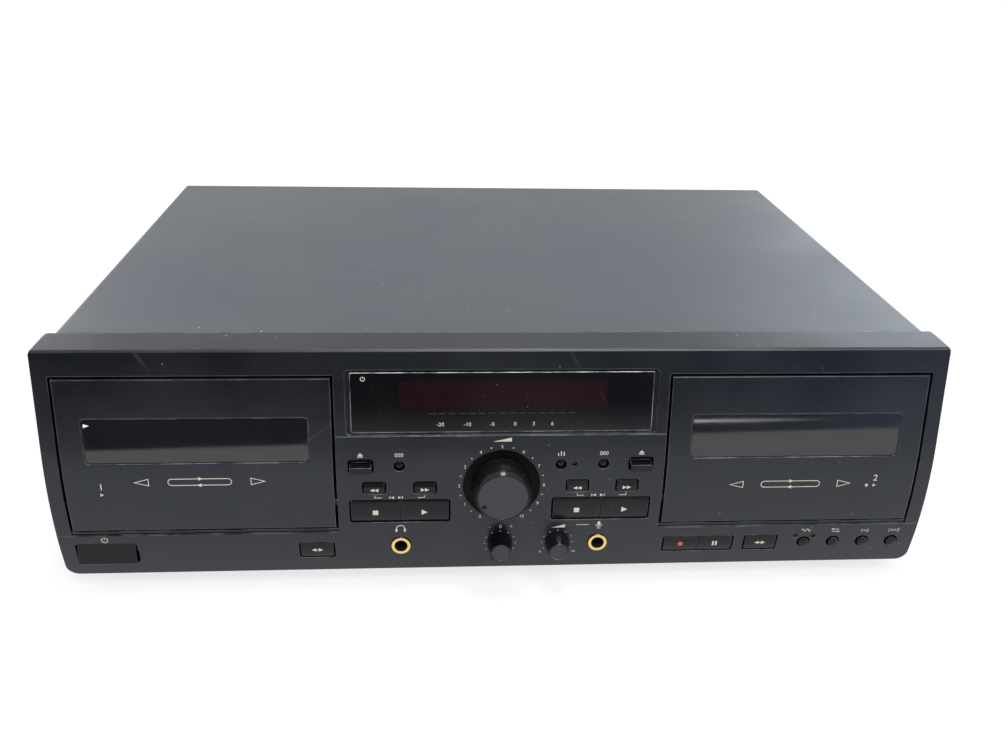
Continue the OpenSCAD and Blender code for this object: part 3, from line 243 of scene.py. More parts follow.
def microphone_sign(x, drop):
    rim = ((-0.75, -1.2), (-0.55, -1.75), (0, -2.0), (0.55, -1.75), (0.75, -1.2), (0.75, 0), (0.5, 0.5), (0, 0.7),
           (-0.5, 0.5), (-0.75, 0))
    capsule = [[(x + i, drop + j) for i, j in rim]]
    stand = box(x, drop + 1.85, 0.3, 0.9) + box(x, drop + 2.4, 1.9, 0.3)
    return capsule + arc(x, drop - 0.1, 1.5, 90, 270, 0.3, 14) + stand


def power_sign(x, drop, r=1.5):
    return arc(x, drop, r, 35, 325, 0.36) + box(x, drop - r * 0.7, 0.36, r * 1.1)


def level_sign(x, drop, w):
    """A wedge that rises to the right."""
    return [[(x - w / 2, drop + 1.0), (x + w / 2, drop - 1.0), (x + w / 2, drop + 1.0)]]


def wave_sign(x, drop):
    points = [(x - 2.4 + 0.3 * i, drop - 0.8 * math.sin(0.3 * i * math.pi / 1.2)) for i in range(17)]
    return stroke(points, 0.34)


def turn_sign(x, drop):
    """Two arrows that go opposite ways."""
    return (box(x + 0.3, drop - 0.8, 3.0, 0.34) + arrow(x - 1.8, drop - 0.8, 1.3, 1.3, -1)
            + box(x - 0.3, drop + 0.8, 3.0, 0.34) + arrow(x + 1.8, drop + 0.8, 1.3, 1.3, 1))


def loop_sign(x, drop, w, h):
    """A long loop with an arrow head on each run, for tape that turns round at its end."""
    r = h / 2
    half = w / 2 - r
    ends = []
    for side in (1, -1):
        ends += [(x + side * (half + r * math.cos(t)), drop + side * r * math.sin(t))
                 for t in (math.radians(a) for a in range(-90, 91, 15))]
    heads = arrow(x + 0.4, drop - r, 2.2, 1.9, 1) + arrow(x - 0.4, drop + r, 2.2, 1.9, -1)
    return stroke(ends, 0.38, closed=True) + heads


def bars_sign(x, drop):
    return box(x - 1.4, drop + 0.5, 0.5, 1.4) + box(x, drop, 0.5, 2.4) + box(x + 1.4, drop + 0.2, 0.5, 2.0)


# Building meshes

def evaluated_mesh(obj):
    """What an object's modifiers or text make, as a plain mesh."""
    bpy.context.view_layer.update()
    return bpy.data.meshes.new_from_object(obj.evaluated_get(bpy.context.evaluated_depsgraph_get()))


def mesh_of(bm, name):
    mesh = bpy.data.meshes.new(name)
    bm.to_mesh(mesh)
    bm.free()
    return mesh


def link_piece(name, mesh, body, finish):
    obj = bpy.data.objects.new(name, mesh)
    bpy.context.scene.collection.objects.link(obj)
    if finish is not None:
        mesh.materials.append(finish)
    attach(obj, body)
    return obj


def print_piece(name, outlines, body, finish, back_at):
    """A thin closed layer of ink in the shape of the outlines, lying on a surface that back_at describes."""
    longest = 1.6
    looks = bpy.context.scene.deck_prints
    bm = bmesh.new()
    for outline in outlines:
        bm.faces.new([bm.verts.new((x, drop, 0)) for x, drop in outline])
    bmesh.ops.remove_doubles(bm, verts=bm.verts, dist=1e-4)
    bmesh.ops.triangulate(bm, faces=bm.faces[:])
    for _ in range(4):
        tall = [e for e in bm.edges if abs(e.verts[0].co.y - e.verts[1].co.y) > longest]
        if not tall:
            break
        bmesh.ops.subdivide_edges(bm, edges=tall, cuts=1)
        bmesh.ops.triangulate(bm, faces=bm.faces[:])
    sheet = bmesh.ops.extrude_face_region(bm, geom=bm.faces[:])
    for v in (g for g in sheet["geom"] if isinstance(g, bmesh.types.BMVert)):
        v.co.z = 1
    bmesh.ops.recalc_face_normals(bm, faces=bm.faces[:])
    outer = looks.ink_lift / MM
    deep = looks.ink_depth / MM
    for v in bm.verts:
        x, drop, level = v.co
        v.co = place(x, back_at(drop) - outer + (outer + deep) * level, drop)
    return link_piece(name, mesh_of(bm, name), body, finish)


def lathe(name, profile, x, drop, body, finish, steps):
    """A turned piece: profile points are (back, radius) in millimetres, from the front to the rear."""
    bm = bmesh.new()
    rings = []
    for back, r in profile:
        spots = [clock_point(x, drop, r, 2 * math.pi * i / steps) for i in range(steps if r else 1)]
        rings.append([bm.verts.new(place(across, back, down)) for across, down in spots])
    for a, b in zip(rings, rings[1:]):
        for i in range(steps):
            corners = [a[i % len(a)], a[(i + 1) % len(a)], b[(i + 1) % len(b)], b[i % len(b)]]
            bm.faces.new(list(dict.fromkeys(corners)))
    bmesh.ops.recalc_face_normals(bm, faces=bm.faces[:])
    for f in bm.faces:
        f.smooth = True
    return link_piece(name, mesh_of(bm, name), body, finish)


def scoop(piece, centre, r):
    """Cuts a round dimple into a piece and keeps the result as its plain mesh."""
    bm = bmesh.new()
    bmesh.ops.create_uvsphere(bm, u_segments=28, v_segments=18, radius=r * MM)
    bmesh.ops.translate(bm, verts=bm.verts, vec=centre)
    for f in bm.faces:
        f.smooth = True
    cutter = bpy.data.objects.new("scoop", mesh_of(bm, "scoop"))
    bpy.context.scene.collection.objects.link(cutter)
    modifier = piece.modifiers.new("scoop", "BOOLEAN")
    modifier.operation = "DIFFERENCE"
    modifier.solver = "EXACT"
    modifier.object = cutter
    mesh = evaluated_mesh(piece)
    piece.modifiers.remove(modifier)
    bpy.data.objects.remove(cutter)
    mesh.set_sharp_from_angle(angle=math.radians(35))
    mesh.name = piece.name
    piece.data = mesh


# Nodes

def feed(tree, socket, value):
    """Links a node's output to a socket, or sets the socket to a plain value."""
    if isinstance(value, bpy.types.NodeSocket):
        tree.links.new(value, socket)
    elif socket.type == "RGBA":
        socket.default_value = (*value[:3], 1.0)
    else:
        socket.default_value = value


def add_node(tree, kind, sockets=None, **settings):
    """A new node with its settings, and its sockets fed by name or number."""
    node = tree.nodes.new(kind)
    for label, value in settings.items():
        setattr(node, label, value)
    for label, value in (sockets or {}).items():
        feed(tree, node.inputs[label], value)
    return node


def math_node(tree, operation, *values):
    return add_node(tree, "ShaderNodeMath", dict(enumerate(values)), operation=operation).outputs[0]


def times(tree, first, *others):
    for value in others:
        first = math_node(tree, "MULTIPLY", first, value)
    return first


def reach_node(tree, a, b):
    """Length of a flat vector."""
    return math_node(tree, "SQRT", math_node(tree, "ADD", times(tree, a, a), times(tree, b, b)))


def ramp_node(tree, value, low, high, to_low=0.0, to_high=1.0):
    return add_node(tree, "ShaderNodeMapRange", {"Value": value, "From Min": low, "From Max": high, "To Min": to_low,
                                                 "To Max": to_high}, interpolation_type="SMOOTHSTEP").outputs["Result"]


def noise_node(tree, vector, scale, detail=2.0, roughness=0.5):
    return add_node(tree, "ShaderNodeTexNoise", {"Vector": vector, "Scale": scale, "Detail": detail,
                                                 "Roughness": roughness}).outputs["Fac"]


def mapped(tree, scale=None, turn=None):
    """Object coordinates, turned first and then stretched."""
    vector = add_node(tree, "ShaderNodeTexCoord").outputs["Object"]
    for label, value in (("Rotation", turn), ("Scale", scale)):
        if value is not None:
            vector = add_node(tree, "ShaderNodeMapping", {label: value, "Vector": vector}).outputs["Vector"]
    return vector


def axes(tree, vector=None):
    """The x, y and z of a vector, or of a place on the piece."""
    return add_node(tree, "ShaderNodeSeparateXYZ", {0: vector or mapped(tree)}).outputs


def face_normal(tree):
    return add_node(tree, "ShaderNodeNewGeometry").outputs["Normal"]


def mix_colour(tree, share, a, b):
    return add_node(tree, "ShaderNodeMix", {0: share, 6: a, 7: b}, data_type="RGBA").outputs[2]


# Shader groups

def shader_group(name, inputs, outputs):
    """A new group with its inputs' defaults and its outputs' kinds: the tree, its inputs and its output sockets."""
    tree = bpy.data.node_groups.new(name, "ShaderNodeTree")
    for label, default in inputs.items():
        tree.interface.new_socket(name=label, in_out="INPUT", socket_type="NodeSocketFloat").default_value = default
    for label, kind in outputs.items():
        tree.interface.new_socket(name=label, in_out="OUTPUT", socket_type=kind)
    GROUPS[name] = tree
    return tree, tree.nodes.new("NodeGroupInput").outputs, tree.nodes.new("NodeGroupOutput").inputs


def edge_wear_group():
    """Rounds sharp edges in the shading, finds where hands have rubbed them, and weights edges that face up as a
    painted highlight of the light from above.
    """
    tree, inside, out = shader_group("worn_and_highlighted_edges", {"Radius": 0.0004, "Patches": 90.0},
                                     {"Worn And Highlight": "NodeSocketFloat", "Normal": "NodeSocketVector"})
    rounded = add_node(tree, "ShaderNodeBevel", {"Radius": inside["Radius"]}, samples=12).outputs["Normal"]
    dot = add_node(tree, "ShaderNodeVectorMath", {0: rounded, 1: face_normal(tree)}, operation="DOT_PRODUCT")
    bend = math_node(tree, "SUBTRACT", 1.0, dot.outputs["Value"])
    edge = ramp_node(tree, bend, 0.015, 0.16)
    patch = ramp_node(tree, noise_node(tree, mapped(tree), inside["Patches"], 4.0, 0.6), 0.4, 0.62, 0.15)
    # Edges that face up get more of the light edge colour: a painted highlight standing in for light from above.
    up = ramp_node(tree, axes(tree, rounded)["Z"], 0.1, 0.6, 0.3, 1.0)
    feed(tree, out["Worn And Highlight"], times(tree, edge, up, patch))
    feed(tree, out["Normal"], rounded)


def moulded_grain_group():
    """Fine texture of a moulded or painted surface, and the slow change of tone over it."""
    tree, inside, out = shader_group("moulded_grain", {"Scale": 2200.0, "Drift": 9.0},
                                     {"Height": "NodeSocketFloat", "Tone": "NodeSocketFloat"})
    slow = noise_node(tree, mapped(tree, (1.0, 1.0, 1.6)), inside["Drift"], 4.0, 0.6)
    feed(tree, out["Height"], noise_node(tree, mapped(tree), inside["Scale"], 3.0, 0.55))
    feed(tree, out["Tone"], ramp_node(tree, slow, 0.3, 0.7))


def dust_group():
    """Loose specks and a thin film, thickest on faces that look up."""
    tree, inside, out = shader_group("dust", {"Amount": 0.5, "Scale": 260.0},
                                     {"Speck": "NodeSocketFloat", "Film": "NodeSocketFloat"})
    cells = add_node(tree, "ShaderNodeTexVoronoi", {"Vector": mapped(tree), "Scale": inside["Scale"]}).outputs
    near = ramp_node(tree, cells["Distance"], 0.03, 0.13, 1.0, 0.0)
    draw = add_node(tree, "ShaderNodeSeparateColor", {0: cells["Color"]}).outputs[0]
    some = ramp_node(tree, draw, 0.86, 0.9)
    patch = ramp_node(tree, noise_node(tree, mapped(tree), 14.0, 3.0), 0.4, 0.66)
    up = ramp_node(tree, axes(tree, face_normal(tree))["Z"], 0.1, 0.9, 0.55, 1.0)
    film = times(tree, patch, up, inside["Amount"])
    feed(tree, out["Speck"], times(tree, near, some, film))
    feed(tree, out["Film"], film)


def hairlines_group():
    """Thin slanted scratches, few and uneven, that lie in a level face or in an upright one."""
    tree, inside, out = shader_group("hairlines", {"Amount": 0.4}, {"Scratch": "NodeSocketFloat"})
    level = ramp_node(tree, math_node(tree, "ABSOLUTE", axes(tree, face_normal(tree))["Z"]), 0.4, 0.6)
    upright = math_node(tree, "SUBTRACT", 1.0, level)
    marks = []
    for share, axis, scale in ((level, (0, 0, 1), (260.0, 18.0, 20.0)), (upright, (0, 1, 0), (260.0, 20.0, 30.0))):
        lines = []
        for slant in (0.5, -0.9):
            grain = noise_node(tree, mapped(tree, scale, tuple(slant * a for a in axis)), 1.0, 1.0)
            lines.append(ramp_node(tree, grain, 0.7, 0.75))
        marks.append(times(tree, math_node(tree, "MAXIMUM", *lines), share))
    patch = ramp_node(tree, noise_node(tree, mapped(tree), 11.0, 2.0), 0.52, 0.66)
    feed(tree, out["Scratch"], times(tree, math_node(tree, "MAXIMUM", *marks), patch, inside["Amount"]))


def put_group(tree, name, **values):
    return add_node(tree, "ShaderNodeGroup", values, node_tree=GROUPS[name]).outputs


# Finishes

def lighter(colour, share):
    return tuple(min(1.0, c * share) for c in colour[:3])


def new_finish(name, sockets=None):
    made = bpy.data.materials.new(name)
    made.use_nodes = True
    tree = made.node_tree
    tree.nodes.clear()
    shader = add_node(tree, "ShaderNodeBsdfPrincipled", sockets)
    add_node(tree, "ShaderNodeOutputMaterial", {0: shader.outputs[0]})
    FINISHES[name] = made
    return tree, shader


def finish_surface(tree, shader, colour, rough, worn_and_highlight_colour, radius=0.0004, patches=90.0, grain=2200.0, bump=0.06,
                   drift=9.0, vary=0.12, dust=0.0, dust_scale=260.0, scratch=0.0, tone=1.35, extra=None):
    """Joins the shared effects into one shader: tone, worn edges with a painted highlight on them, scratches, dust,
    grain and rounded edges.
    """
    film_colour, speck_colour = (0.55, 0.54, 0.52), (0.6, 0.59, 0.56)
    film_share, film_rough, grain_height = 0.014, 0.05, 0.00012
    wear_and_highlight = put_group(tree, "worn_and_highlighted_edges", Radius=radius, Patches=patches)
    texture = put_group(tree, "moulded_grain", Scale=grain, Drift=drift)
    base = mix_colour(tree, texture["Tone"], colour, lighter(colour, tone))
    if extra is not None:
        base = extra(tree, base)
    # Rubbed wear on the edges, and a painted highlight where they face up.
    base = mix_colour(tree, wear_and_highlight["Worn And Highlight"], base, worn_and_highlight_colour)
    shine = math_node(tree, "ADD", times(tree, texture["Tone"], vary), rough - vary / 2)
    if scratch:
        lines = put_group(tree, "hairlines", Amount=scratch)
        base = mix_colour(tree, lines["Scratch"], base, worn_and_highlight_colour)
    if dust:
        loose = put_group(tree, "dust", Amount=dust, Scale=dust_scale)
        base = mix_colour(tree, times(tree, loose["Film"], film_share), base, film_colour)
        base = mix_colour(tree, loose["Speck"], base, speck_colour)
        shine = math_node(tree, "ADD", shine, times(tree, loose["Film"], film_rough))
    raised = add_node(tree, "ShaderNodeBump", {"Strength": bump, "Distance": grain_height, "Height": texture["Height"],
                                               "Normal": wear_and_highlight["Normal"]})
    for label, value in (("Base Color", base), ("Roughness", shine), ("Normal", raised.outputs["Normal"])):
        feed(tree, shader.inputs[label], value)


def wear_finish(name, nodes):
    for node in nodes:
        mesh = NODES[node].data
        mesh.materials.clear()
        mesh.materials.append(FINISHES[name])


def make_finish(name, nodes, colour, rough, worn_and_highlight_colour, sockets=None, **effects):
    """A finish with the shared effects, put on CAD nodes; its light edge colour is rubbed wear and a painted highlight.
    """
    finish_surface(*new_finish(name, sockets), colour, rough, worn_and_highlight_colour, **effects)
    wear_finish(name, nodes)
    return FINISHES[name]


def ink_finish(name, colour):
    return make_finish(name, [], colour, 0.5, lighter(colour, 0.8), radius=0.00005, grain=5000, bump=0.05, drift=120.0,
                       vary=0.1, tone=0.86)


def round_mask(tree, x, drop, r):
    """One within a distance of an axis that runs from front to back, nought outside it."""
    at = axes(tree)
    dx = math_node(tree, "SUBTRACT", at["X"], x * MM)
    dz = math_node(tree, "SUBTRACT", at["Z"], (FRONT_TOP - drop) * MM)
    return math_node(tree, "LESS_THAN", reach_node(tree, dx, dz), r * MM)


def depth_mask(tree, y):
    """One ahead of a depth in the CAD frame, nought behind it."""
    return math_node(tree, "LESS_THAN", axes(tree)["Y"], y)


def span_mask(tree, axis, low, high, soft=0.4):
    """One between two places along an axis of the CAD frame, in millimetres, with soft edges."""
    value = axes(tree)[axis]
    rise = ramp_node(tree, value, (low - soft) * MM, (low + soft) * MM)
    fall = ramp_node(tree, value, (high - soft) * MM, (high + soft) * MM, 1.0, 0.0)
    return times(tree, rise, fall)


# Sizes and colours that a user would change

def colour_value(name, description, default):
    return FloatVectorProperty(name=name, description=description, subtype="COLOR", size=3, min=0, max=1,
                               default=default)


def length_value(name, description, default, least=0.0):
    return FloatProperty(name=name, description=description, subtype="DISTANCE", unit="LENGTH", min=least,
                         default=default)


class DeckFinishes(bpy.types.PropertyGroup):
    front: colour_value("Front", "Moulded black of the front and doors", (0.0042, 0.0048, 0.0072))
    keys: colour_value("Keys", "Moulded black of the keys", (0.003, 0.0034, 0.0048))
    cover: colour_value("Cover", "Satin paint of the cover", (0.03, 0.0355, 0.046))
    knob_cap: colour_value("Knob cap", "Matte face of the knobs", (0.03, 0.031, 0.034))
    gold: colour_value("Socket rings", "Plating of the front sockets", (0.83, 0.6, 0.2))
    window: colour_value("Door windows", "Smoke tint of the door windows", (0.006, 0.0062, 0.007))
    window_cover: FloatProperty(name="Window tint", description="How much the door windows hide", subtype="FACTOR",
                                min=0, max=1, default=0.8)
    display_red: colour_value("Display filter", "Dark red filter in the display window", (0.0102, 0.0014, 0.0037))


class DeckPrints(bpy.types.PropertyGroup):
    ink: colour_value("Ink", "Cream ink of the printed marks", (0.5, 0.46, 0.37))
    red: colour_value("Red ink", "Ink of the record mark", (0.62, 0.06, 0.07))
    ink_lift: length_value("Ink height", "Height of the ink above its surface", 0.00003)
    ink_depth: length_value("Ink depth", "Depth of the ink in its surface", 0.00003)
    dial_radius: length_value("Dial radius", "Radius of the circle of numbers and dots", 0.0209, 0.019)
    dot_radius: length_value("Dot radius", "Radius of a dot on a dial", 0.00034, 0.0001)
    small_dots: IntProperty(name="Small dial dots", description="Dots round a small knob", min=3, default=11)


class DeckStage(bpy.types.PropertyGroup):
    floor: colour_value("Floor", "Pale floor", (0.9, 0.9, 0.905))
    lens: FloatProperty(name="Lens", description="Focal length of the camera, in millimetres on a 36 mm sensor",
                        min=10, default=35.537)


# Operators

class DECK_OT_shader_groups(bpy.types.Operator):
    """Make the shader groups that the finishes share"""
    bl_idname = "deck.shader_groups"
    bl_label = "Shared effects"

    def execute(self, context):
        edge_wear_group()
        moulded_grain_group()
        dust_group()
        hairlines_group()
        return {"FINISHED"}


class DECK_OT_finish_case(bpy.types.Operator):
    """Finish the front, cover, chassis, back, feet and screws"""
    bl_idname = "deck.finish_case"
    bl_label = "Case finishes"

    def execute(self, context):
        looks = context.scene.deck_finishes
        # The light edge colours of the front and cover are rubbed wear and a painted highlight along the edges.
        make_finish("front_plastic", ["upper_fascia", "lower_fascia"], looks.front, 0.27, (0.17, 0.17, 0.18),
                    FRONT_GLOSS, radius=0.0007, dust=0.7, scratch=0.06, grain=2600, bump=0.08)
        make_finish("cover_paint", ["top_cover"], looks.cover, 0.46, lighter(looks.cover, 3.0), radius=0.0006,
                    grain=1500, bump=0.1, drift=5.0, vary=0.1, dust=0.7, dust_scale=200, scratch=0.35, tone=1.18)
        make_finish("back_paint", ["rear_panel"], (0.016, 0.016, 0.017), 0.55, (0.07, 0.07, 0.072), grain=1800,
                    bump=0.14, dust=0.4)
        make_finish("zinc_sheet", ["chassis"], (0.42, 0.425, 0.43), 0.38, (0.6, 0.6, 0.6), {"Metallic": 1.0}, grain=900,
                    bump=0.05, drift=24, tone=1.3)
        make_finish("foot_plastic", ["feet"], (0.02, 0.02, 0.021), 0.6, (0.06, 0.06, 0.06), grain=1400, bump=0.2,
                    dust=0.4)
        make_finish("black_screw", ["case_screws"], (0.05, 0.05, 0.052), 0.36, (0.32, 0.31, 0.3), {"Metallic": 0.8},
                    radius=0.0003, grain=3000)
        return {"FINISHED"}


class DECK_OT_finish_doors(bpy.types.Operator):
    """Finish the doors, their windows, the cassette holders and the display window"""
    bl_idname = "deck.finish_doors"
    bl_label = "Door and window finishes"

    def execute(self, context):
        looks = context.scene.deck_finishes
        # The light edge colours here, near white on the display lens, are a painted highlight along the edges as well
        # as rubbed wear.
        make_finish("door_plastic", ["door_a", "door_b"], looks.front, 0.25, (0.23, 0.23, 0.24), FRONT_GLOSS,
                    radius=0.0009, dust=0.7, scratch=0.03, grain=2600, bump=0.06)
        make_finish("smoked_window", ["door_window_a", "door_window_b"], looks.window, 0.035, (0.3, 0.3, 0.31),
                    {"IOR": 1.72, "Alpha": looks.window_cover}, radius=0.0008, bump=0.0, vary=0.012, dust=0.3,
                    dust_scale=340, scratch=0.05)
        make_finish("display_lens", ["display_window"], (0.0018, 0.0018, 0.0022), 0.13, (1.0, 0.97, 0.9), {"IOR": 1.55},
                    radius=0.0009, bump=0.0, vary=0.03, dust=0.6, dust_scale=340, scratch=0.02,
                    extra=lambda tree, base: self.tint(tree, base, looks.display_red))
        make_finish("holder_plastic", ["cassette_holder_a", "cassette_holder_b"], (0.02, 0.02, 0.022), 0.5,
                    (0.06, 0.06, 0.06), grain=1800, bump=0.12)
        return {"FINISHED"}

    def tint(self, tree, base, red):
        """The red filter behind the lens, and a painted sheen that grows towards its lower edge."""
        filtered = times(tree, span_mask(tree, "X", *FILTER_X), span_mask(tree, "Z", *FILTER_ROWS))
        # Painted sheen: the lens is painted lighter towards its lower edge, standing in for reflected light.
        painted_sheen = span_mask(tree, "Z", *PAINTED_SHEEN_ROWS, soft=7.0)
        return mix_colour(tree, painted_sheen, mix_colour(tree, filtered, base, red), (0.007, 0.007, 0.008))


class DECK_OT_finish_controls(bpy.types.Operator):
    """Finish the keys and the knobs"""
    bl_idname = "deck.finish_controls"
    bl_label = "Key and knob finishes"

    def execute(self, context):
        looks = context.scene.deck_finishes
        # The keys' light edge colour is rubbed wear and a painted highlight along their edges.
        make_finish("key_plastic", [n for n in NODES if "_key" in n], looks.keys, 0.2, (0.16, 0.16, 0.165),
                    {"Specular IOR Level": 0.26}, radius=0.0007, patches=240.0, grain=3000, bump=0.05, dust=0.3,
                    dust_scale=500)
        self.knob_finish("level_knob", (0.0, DIAL_DROP, 11.95), looks.knob_cap, 0.0002)
        self.knob_finish("pitch_knob", (0.0, SMALL_DROP, 4.35), looks.knob_cap, 0.0008)
        self.knob_finish("mix_knob", (MIX_X, SMALL_DROP, 4.35), looks.knob_cap, 0.0008)
        return {"FINISHED"}

    def knob_finish(self, node, cap_circle, cap_colour, shoulder):
        """Gloss skirt and matte cap, told apart by the distance from the knob's axis and by depth."""
        cap_depth, cap_rough = 0.0007, 0.28
        tree, shader = new_finish(node + "_finish", {"Specular IOR Level": 0.3})
        cap = times(tree, round_mask(tree, *cap_circle), depth_mask(tree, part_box(node)[0].y + cap_depth))
        finish_surface(tree, shader, (0.003, 0.003, 0.0035), 0.16, (0.12, 0.12, 0.125), radius=shoulder, patches=160,
                       grain=3000, bump=0.05, dust=0.35, dust_scale=380,
                       extra=lambda t, base: mix_colour(t, cap, base, cap_colour))
        shine = shader.inputs["Roughness"].links[0].from_socket
        feed(tree, shader.inputs["Roughness"], math_node(tree, "ADD", shine, times(tree, cap, cap_rough)))
        wear_finish(node + "_finish", [node])


class DECK_OT_level_knob(bpy.types.Operator):
    """Turn the level knob: dished cap, thin rim, round shoulder, tapered skirt and a dimple for its setting"""
    bl_idname = "deck.level_knob"
    bl_label = "Level knob"

    def execute(self, context):
        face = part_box("level_knob")[0].y / MM + MID_BACK
        rim, base, deep, dish, shoulder, steps = 12.6, 14.8, 12.9, 0.3, 8.0, 14
        profile = [(dish, 0.0), (dish, rim - 1.0), (dish, rim - 0.62), (0.05, rim - 0.5), (0.0, rim - 0.42),
                   (0.0, rim - 0.2), (0.1, rim - 0.05)]
        first, last = math.radians(38), math.radians(8)
        for i in range(steps + 1):
            tilt = first + (last - first) * i / steps
            profile.append((0.28 + shoulder * (math.sin(first) - math.sin(tilt)),
                            rim + shoulder * (math.cos(tilt) - math.cos(first))))
        profile += [(deep - 0.6, base - 0.03), (deep, base - 0.03), (deep, 3.0), (deep, 0.0)]
        piece = lathe("level_knob_turned", [(face + back, r) for back, r in profile], 0.0, DIAL_DROP, "level_knob",
                      FINISHES["level_knob_finish"], 120)
        x, drop = clock_point(0.0, DIAL_DROP, rim - 2.2, math.radians(240))
        scoop(piece, place(x, face + 0.1, drop), 1.25)
        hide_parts("level_knob")
        return {"FINISHED"}


class DECK_OT_finish_sockets(bpy.types.Operator):
    """Finish the front sockets, the line sockets and the mains gland"""
    bl_idname = "deck.finish_sockets"
    bl_label = "Socket finishes"

    def execute(self, context):
        self.front_rings(context.scene.deck_finishes.gold)
        self.line_sockets()
        make_finish("soft_rubber", ["mains_gland", "drive_belts"], (0.016, 0.016, 0.016), 0.66, (0.04, 0.04, 0.04),
                    grain=1600, bump=0.2)
        return {"FINISHED"}

    def front_rings(self, gold):
        """Plated rings round black bores."""
        bore_r, ring_deep = 0.0033, 0.004
        tree, shader = new_finish("gold_ring")
        at = axes(tree)
        side = math_node(tree, "SUBTRACT", math_node(tree, "ABSOLUTE", at["X"]), GROUP_X * MM)
        rise = math_node(tree, "SUBTRACT", at["Z"], (FRONT_TOP - SMALL_DROP) * MM)
        rim = math_node(tree, "GREATER_THAN", reach_node(tree, side, rise), bore_r)
        plated = times(tree, rim, depth_mask(tree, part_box("front_sockets")[0].y + ring_deep))
        finish_surface(tree, shader, (0.012, 0.012, 0.013), 0.24, (0.5, 0.4, 0.2), radius=0.0005, patches=300,
                       grain=2500, bump=0.03, extra=lambda t, base: mix_colour(t, plated, base, gold))
        feed(tree, shader.inputs["Metallic"], plated)
        wear_finish("gold_ring", ["front_sockets"])

    def line_sockets(self):
        """Bright barrels with red or white cores in a black block."""
        barrel_long, half_pitch, core_r = 0.0083, 0.008, 0.0032
        low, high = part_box("line_sockets")
        middle = (low + high) / 2
        tree, shader = new_finish("line_socket")
        at = axes(tree)
        barrel = math_node(tree, "GREATER_THAN", at["Y"], high.y - barrel_long)
        off = []
        for value, centre in ((at["X"], middle.x), (at["Z"], middle.z)):
            away = math_node(tree, "ABSOLUTE", math_node(tree, "SUBTRACT", value, centre))
            off.append(math_node(tree, "SUBTRACT", away, half_pitch))
        core = math_node(tree, "LESS_THAN", reach_node(tree, *off), core_r)
        metal = times(tree, barrel, math_node(tree, "SUBTRACT", 1.0, core))
        right = math_node(tree, "LESS_THAN", at["X"], middle.x)
        insert = mix_colour(tree, right, (0.7, 0.69, 0.66), (0.5, 0.03, 0.03))
        body = mix_colour(tree, times(tree, core, barrel), (0.015, 0.015, 0.016), insert)
        finish_surface(tree, shader, (0.6, 0.6, 0.6), 0.26, (0.75, 0.75, 0.75), grain=2500, bump=0.03,
                       extra=lambda t, base: mix_colour(t, metal, body, base))
        feed(tree, shader.inputs["Metallic"], metal)
        wear_finish("line_socket", ["line_sockets"])


class DECK_OT_finish_mechanism(bpy.types.Operator):
    """Finish the mechanisms, reels, capstans, heads, boards, display tube and transformer"""
    bl_idname = "deck.finish_mechanism"
    bl_label = "Mechanism finishes"

    def execute(self, context):
        rows = [
            ("plated_plate", (0.3, 0.305, 0.31), 0.42, 0.9, ["mechanism_a", "mechanism_b"]),
            ("head_steel", (0.55, 0.55, 0.55), 0.3, 1.0, ["head_carriage_a", "head_carriage_b"]),
            ("turned_steel", (0.5, 0.49, 0.46), 0.28, 1.0, [n for n in NODES if "capstan" in n]),
            ("turned_brass", (0.72, 0.52, 0.22), 0.3, 1.0, ["motor_pulley_a", "motor_pulley_b"]),
            ("reel_plastic", (0.5, 0.5, 0.47), 0.5, 0.0, [n for n in NODES if "reel" in n]),
            ("core_steel", (0.12, 0.11, 0.1), 0.55, 0.5, ["transformer"]),
            ("tube_glass", (0.05, 0.05, 0.055), 0.12, 0.0, ["display_tube"]),
        ]
        for name, colour, rough, metal, nodes in rows:
            make_finish(name, nodes, colour, rough, lighter(colour, 1.5), {"Metallic": metal}, grain=1800, bump=0.06,
                        drift=30, tone=1.25)
        lamp_red, lamp_depth = (0.05, 0.006, 0.006), -0.14
        make_finish("board_laminate", ["circuit_boards"], (0.05, 0.12, 0.045), 0.4, (0.1, 0.2, 0.09), grain=1800,
                    bump=0.06, drift=30,
                    extra=lambda tree, base: mix_colour(tree, depth_mask(tree, lamp_depth), base, lamp_red))
        return {"FINISHED"}


class DECK_OT_key_marks(bpy.types.Operator):
    """Print the signs on the keys"""
    bl_idname = "deck.key_marks"
    bl_label = "Key signs"

    def execute(self, context):
        inks = context.scene.deck_prints
        cream = ink_finish("cream_ink", inks.ink)
        red = ink_finish("red_ink", inks.red)
        flush = crown_back(PLAY_ROW, 0.3)
        low = crown_back(BOTTOM_ROW, 0.2)
        step = lambda drop: front_back(WIND_ROW) - 0.1
        for side, x in (("a", -GROUP_X), ("b", GROUP_X)):
            self.mark("stop_key_" + side, box(x - PLAY_X, PLAY_SIGNS, 2.7, 2.7), cream, flush)
            self.mark("play_key_" + side, arrow(x + PLAY_X, PLAY_SIGNS, 3.0, 3.2, 1), cream, flush)
            self.mark("rewind_key_" + side, double_arrow(x - WIND_X, WIND_SIGNS, -1), cream, step)
            self.mark("forward_key_" + side, double_arrow(x + WIND_X, WIND_SIGNS, 1), cream, step)
        for side, x in DIRECTION_X.items():
            self.mark("direction_key_" + side, both_ways(x, BOTTOM_ROW), cream, low)
        self.mark("record_key", disc(RECORD_X - LOW_X, BOTTOM_ROW, 1.35, 28), red, low)
        self.mark("pause_key", pause_sign(RECORD_X + LOW_X, BOTTOM_ROW), cream, low)
        return {"FINISHED"}

    def mark(self, key, outlines, finish, back_at):
        print_piece("sign_on_" + key, outlines, key, finish, back_at)


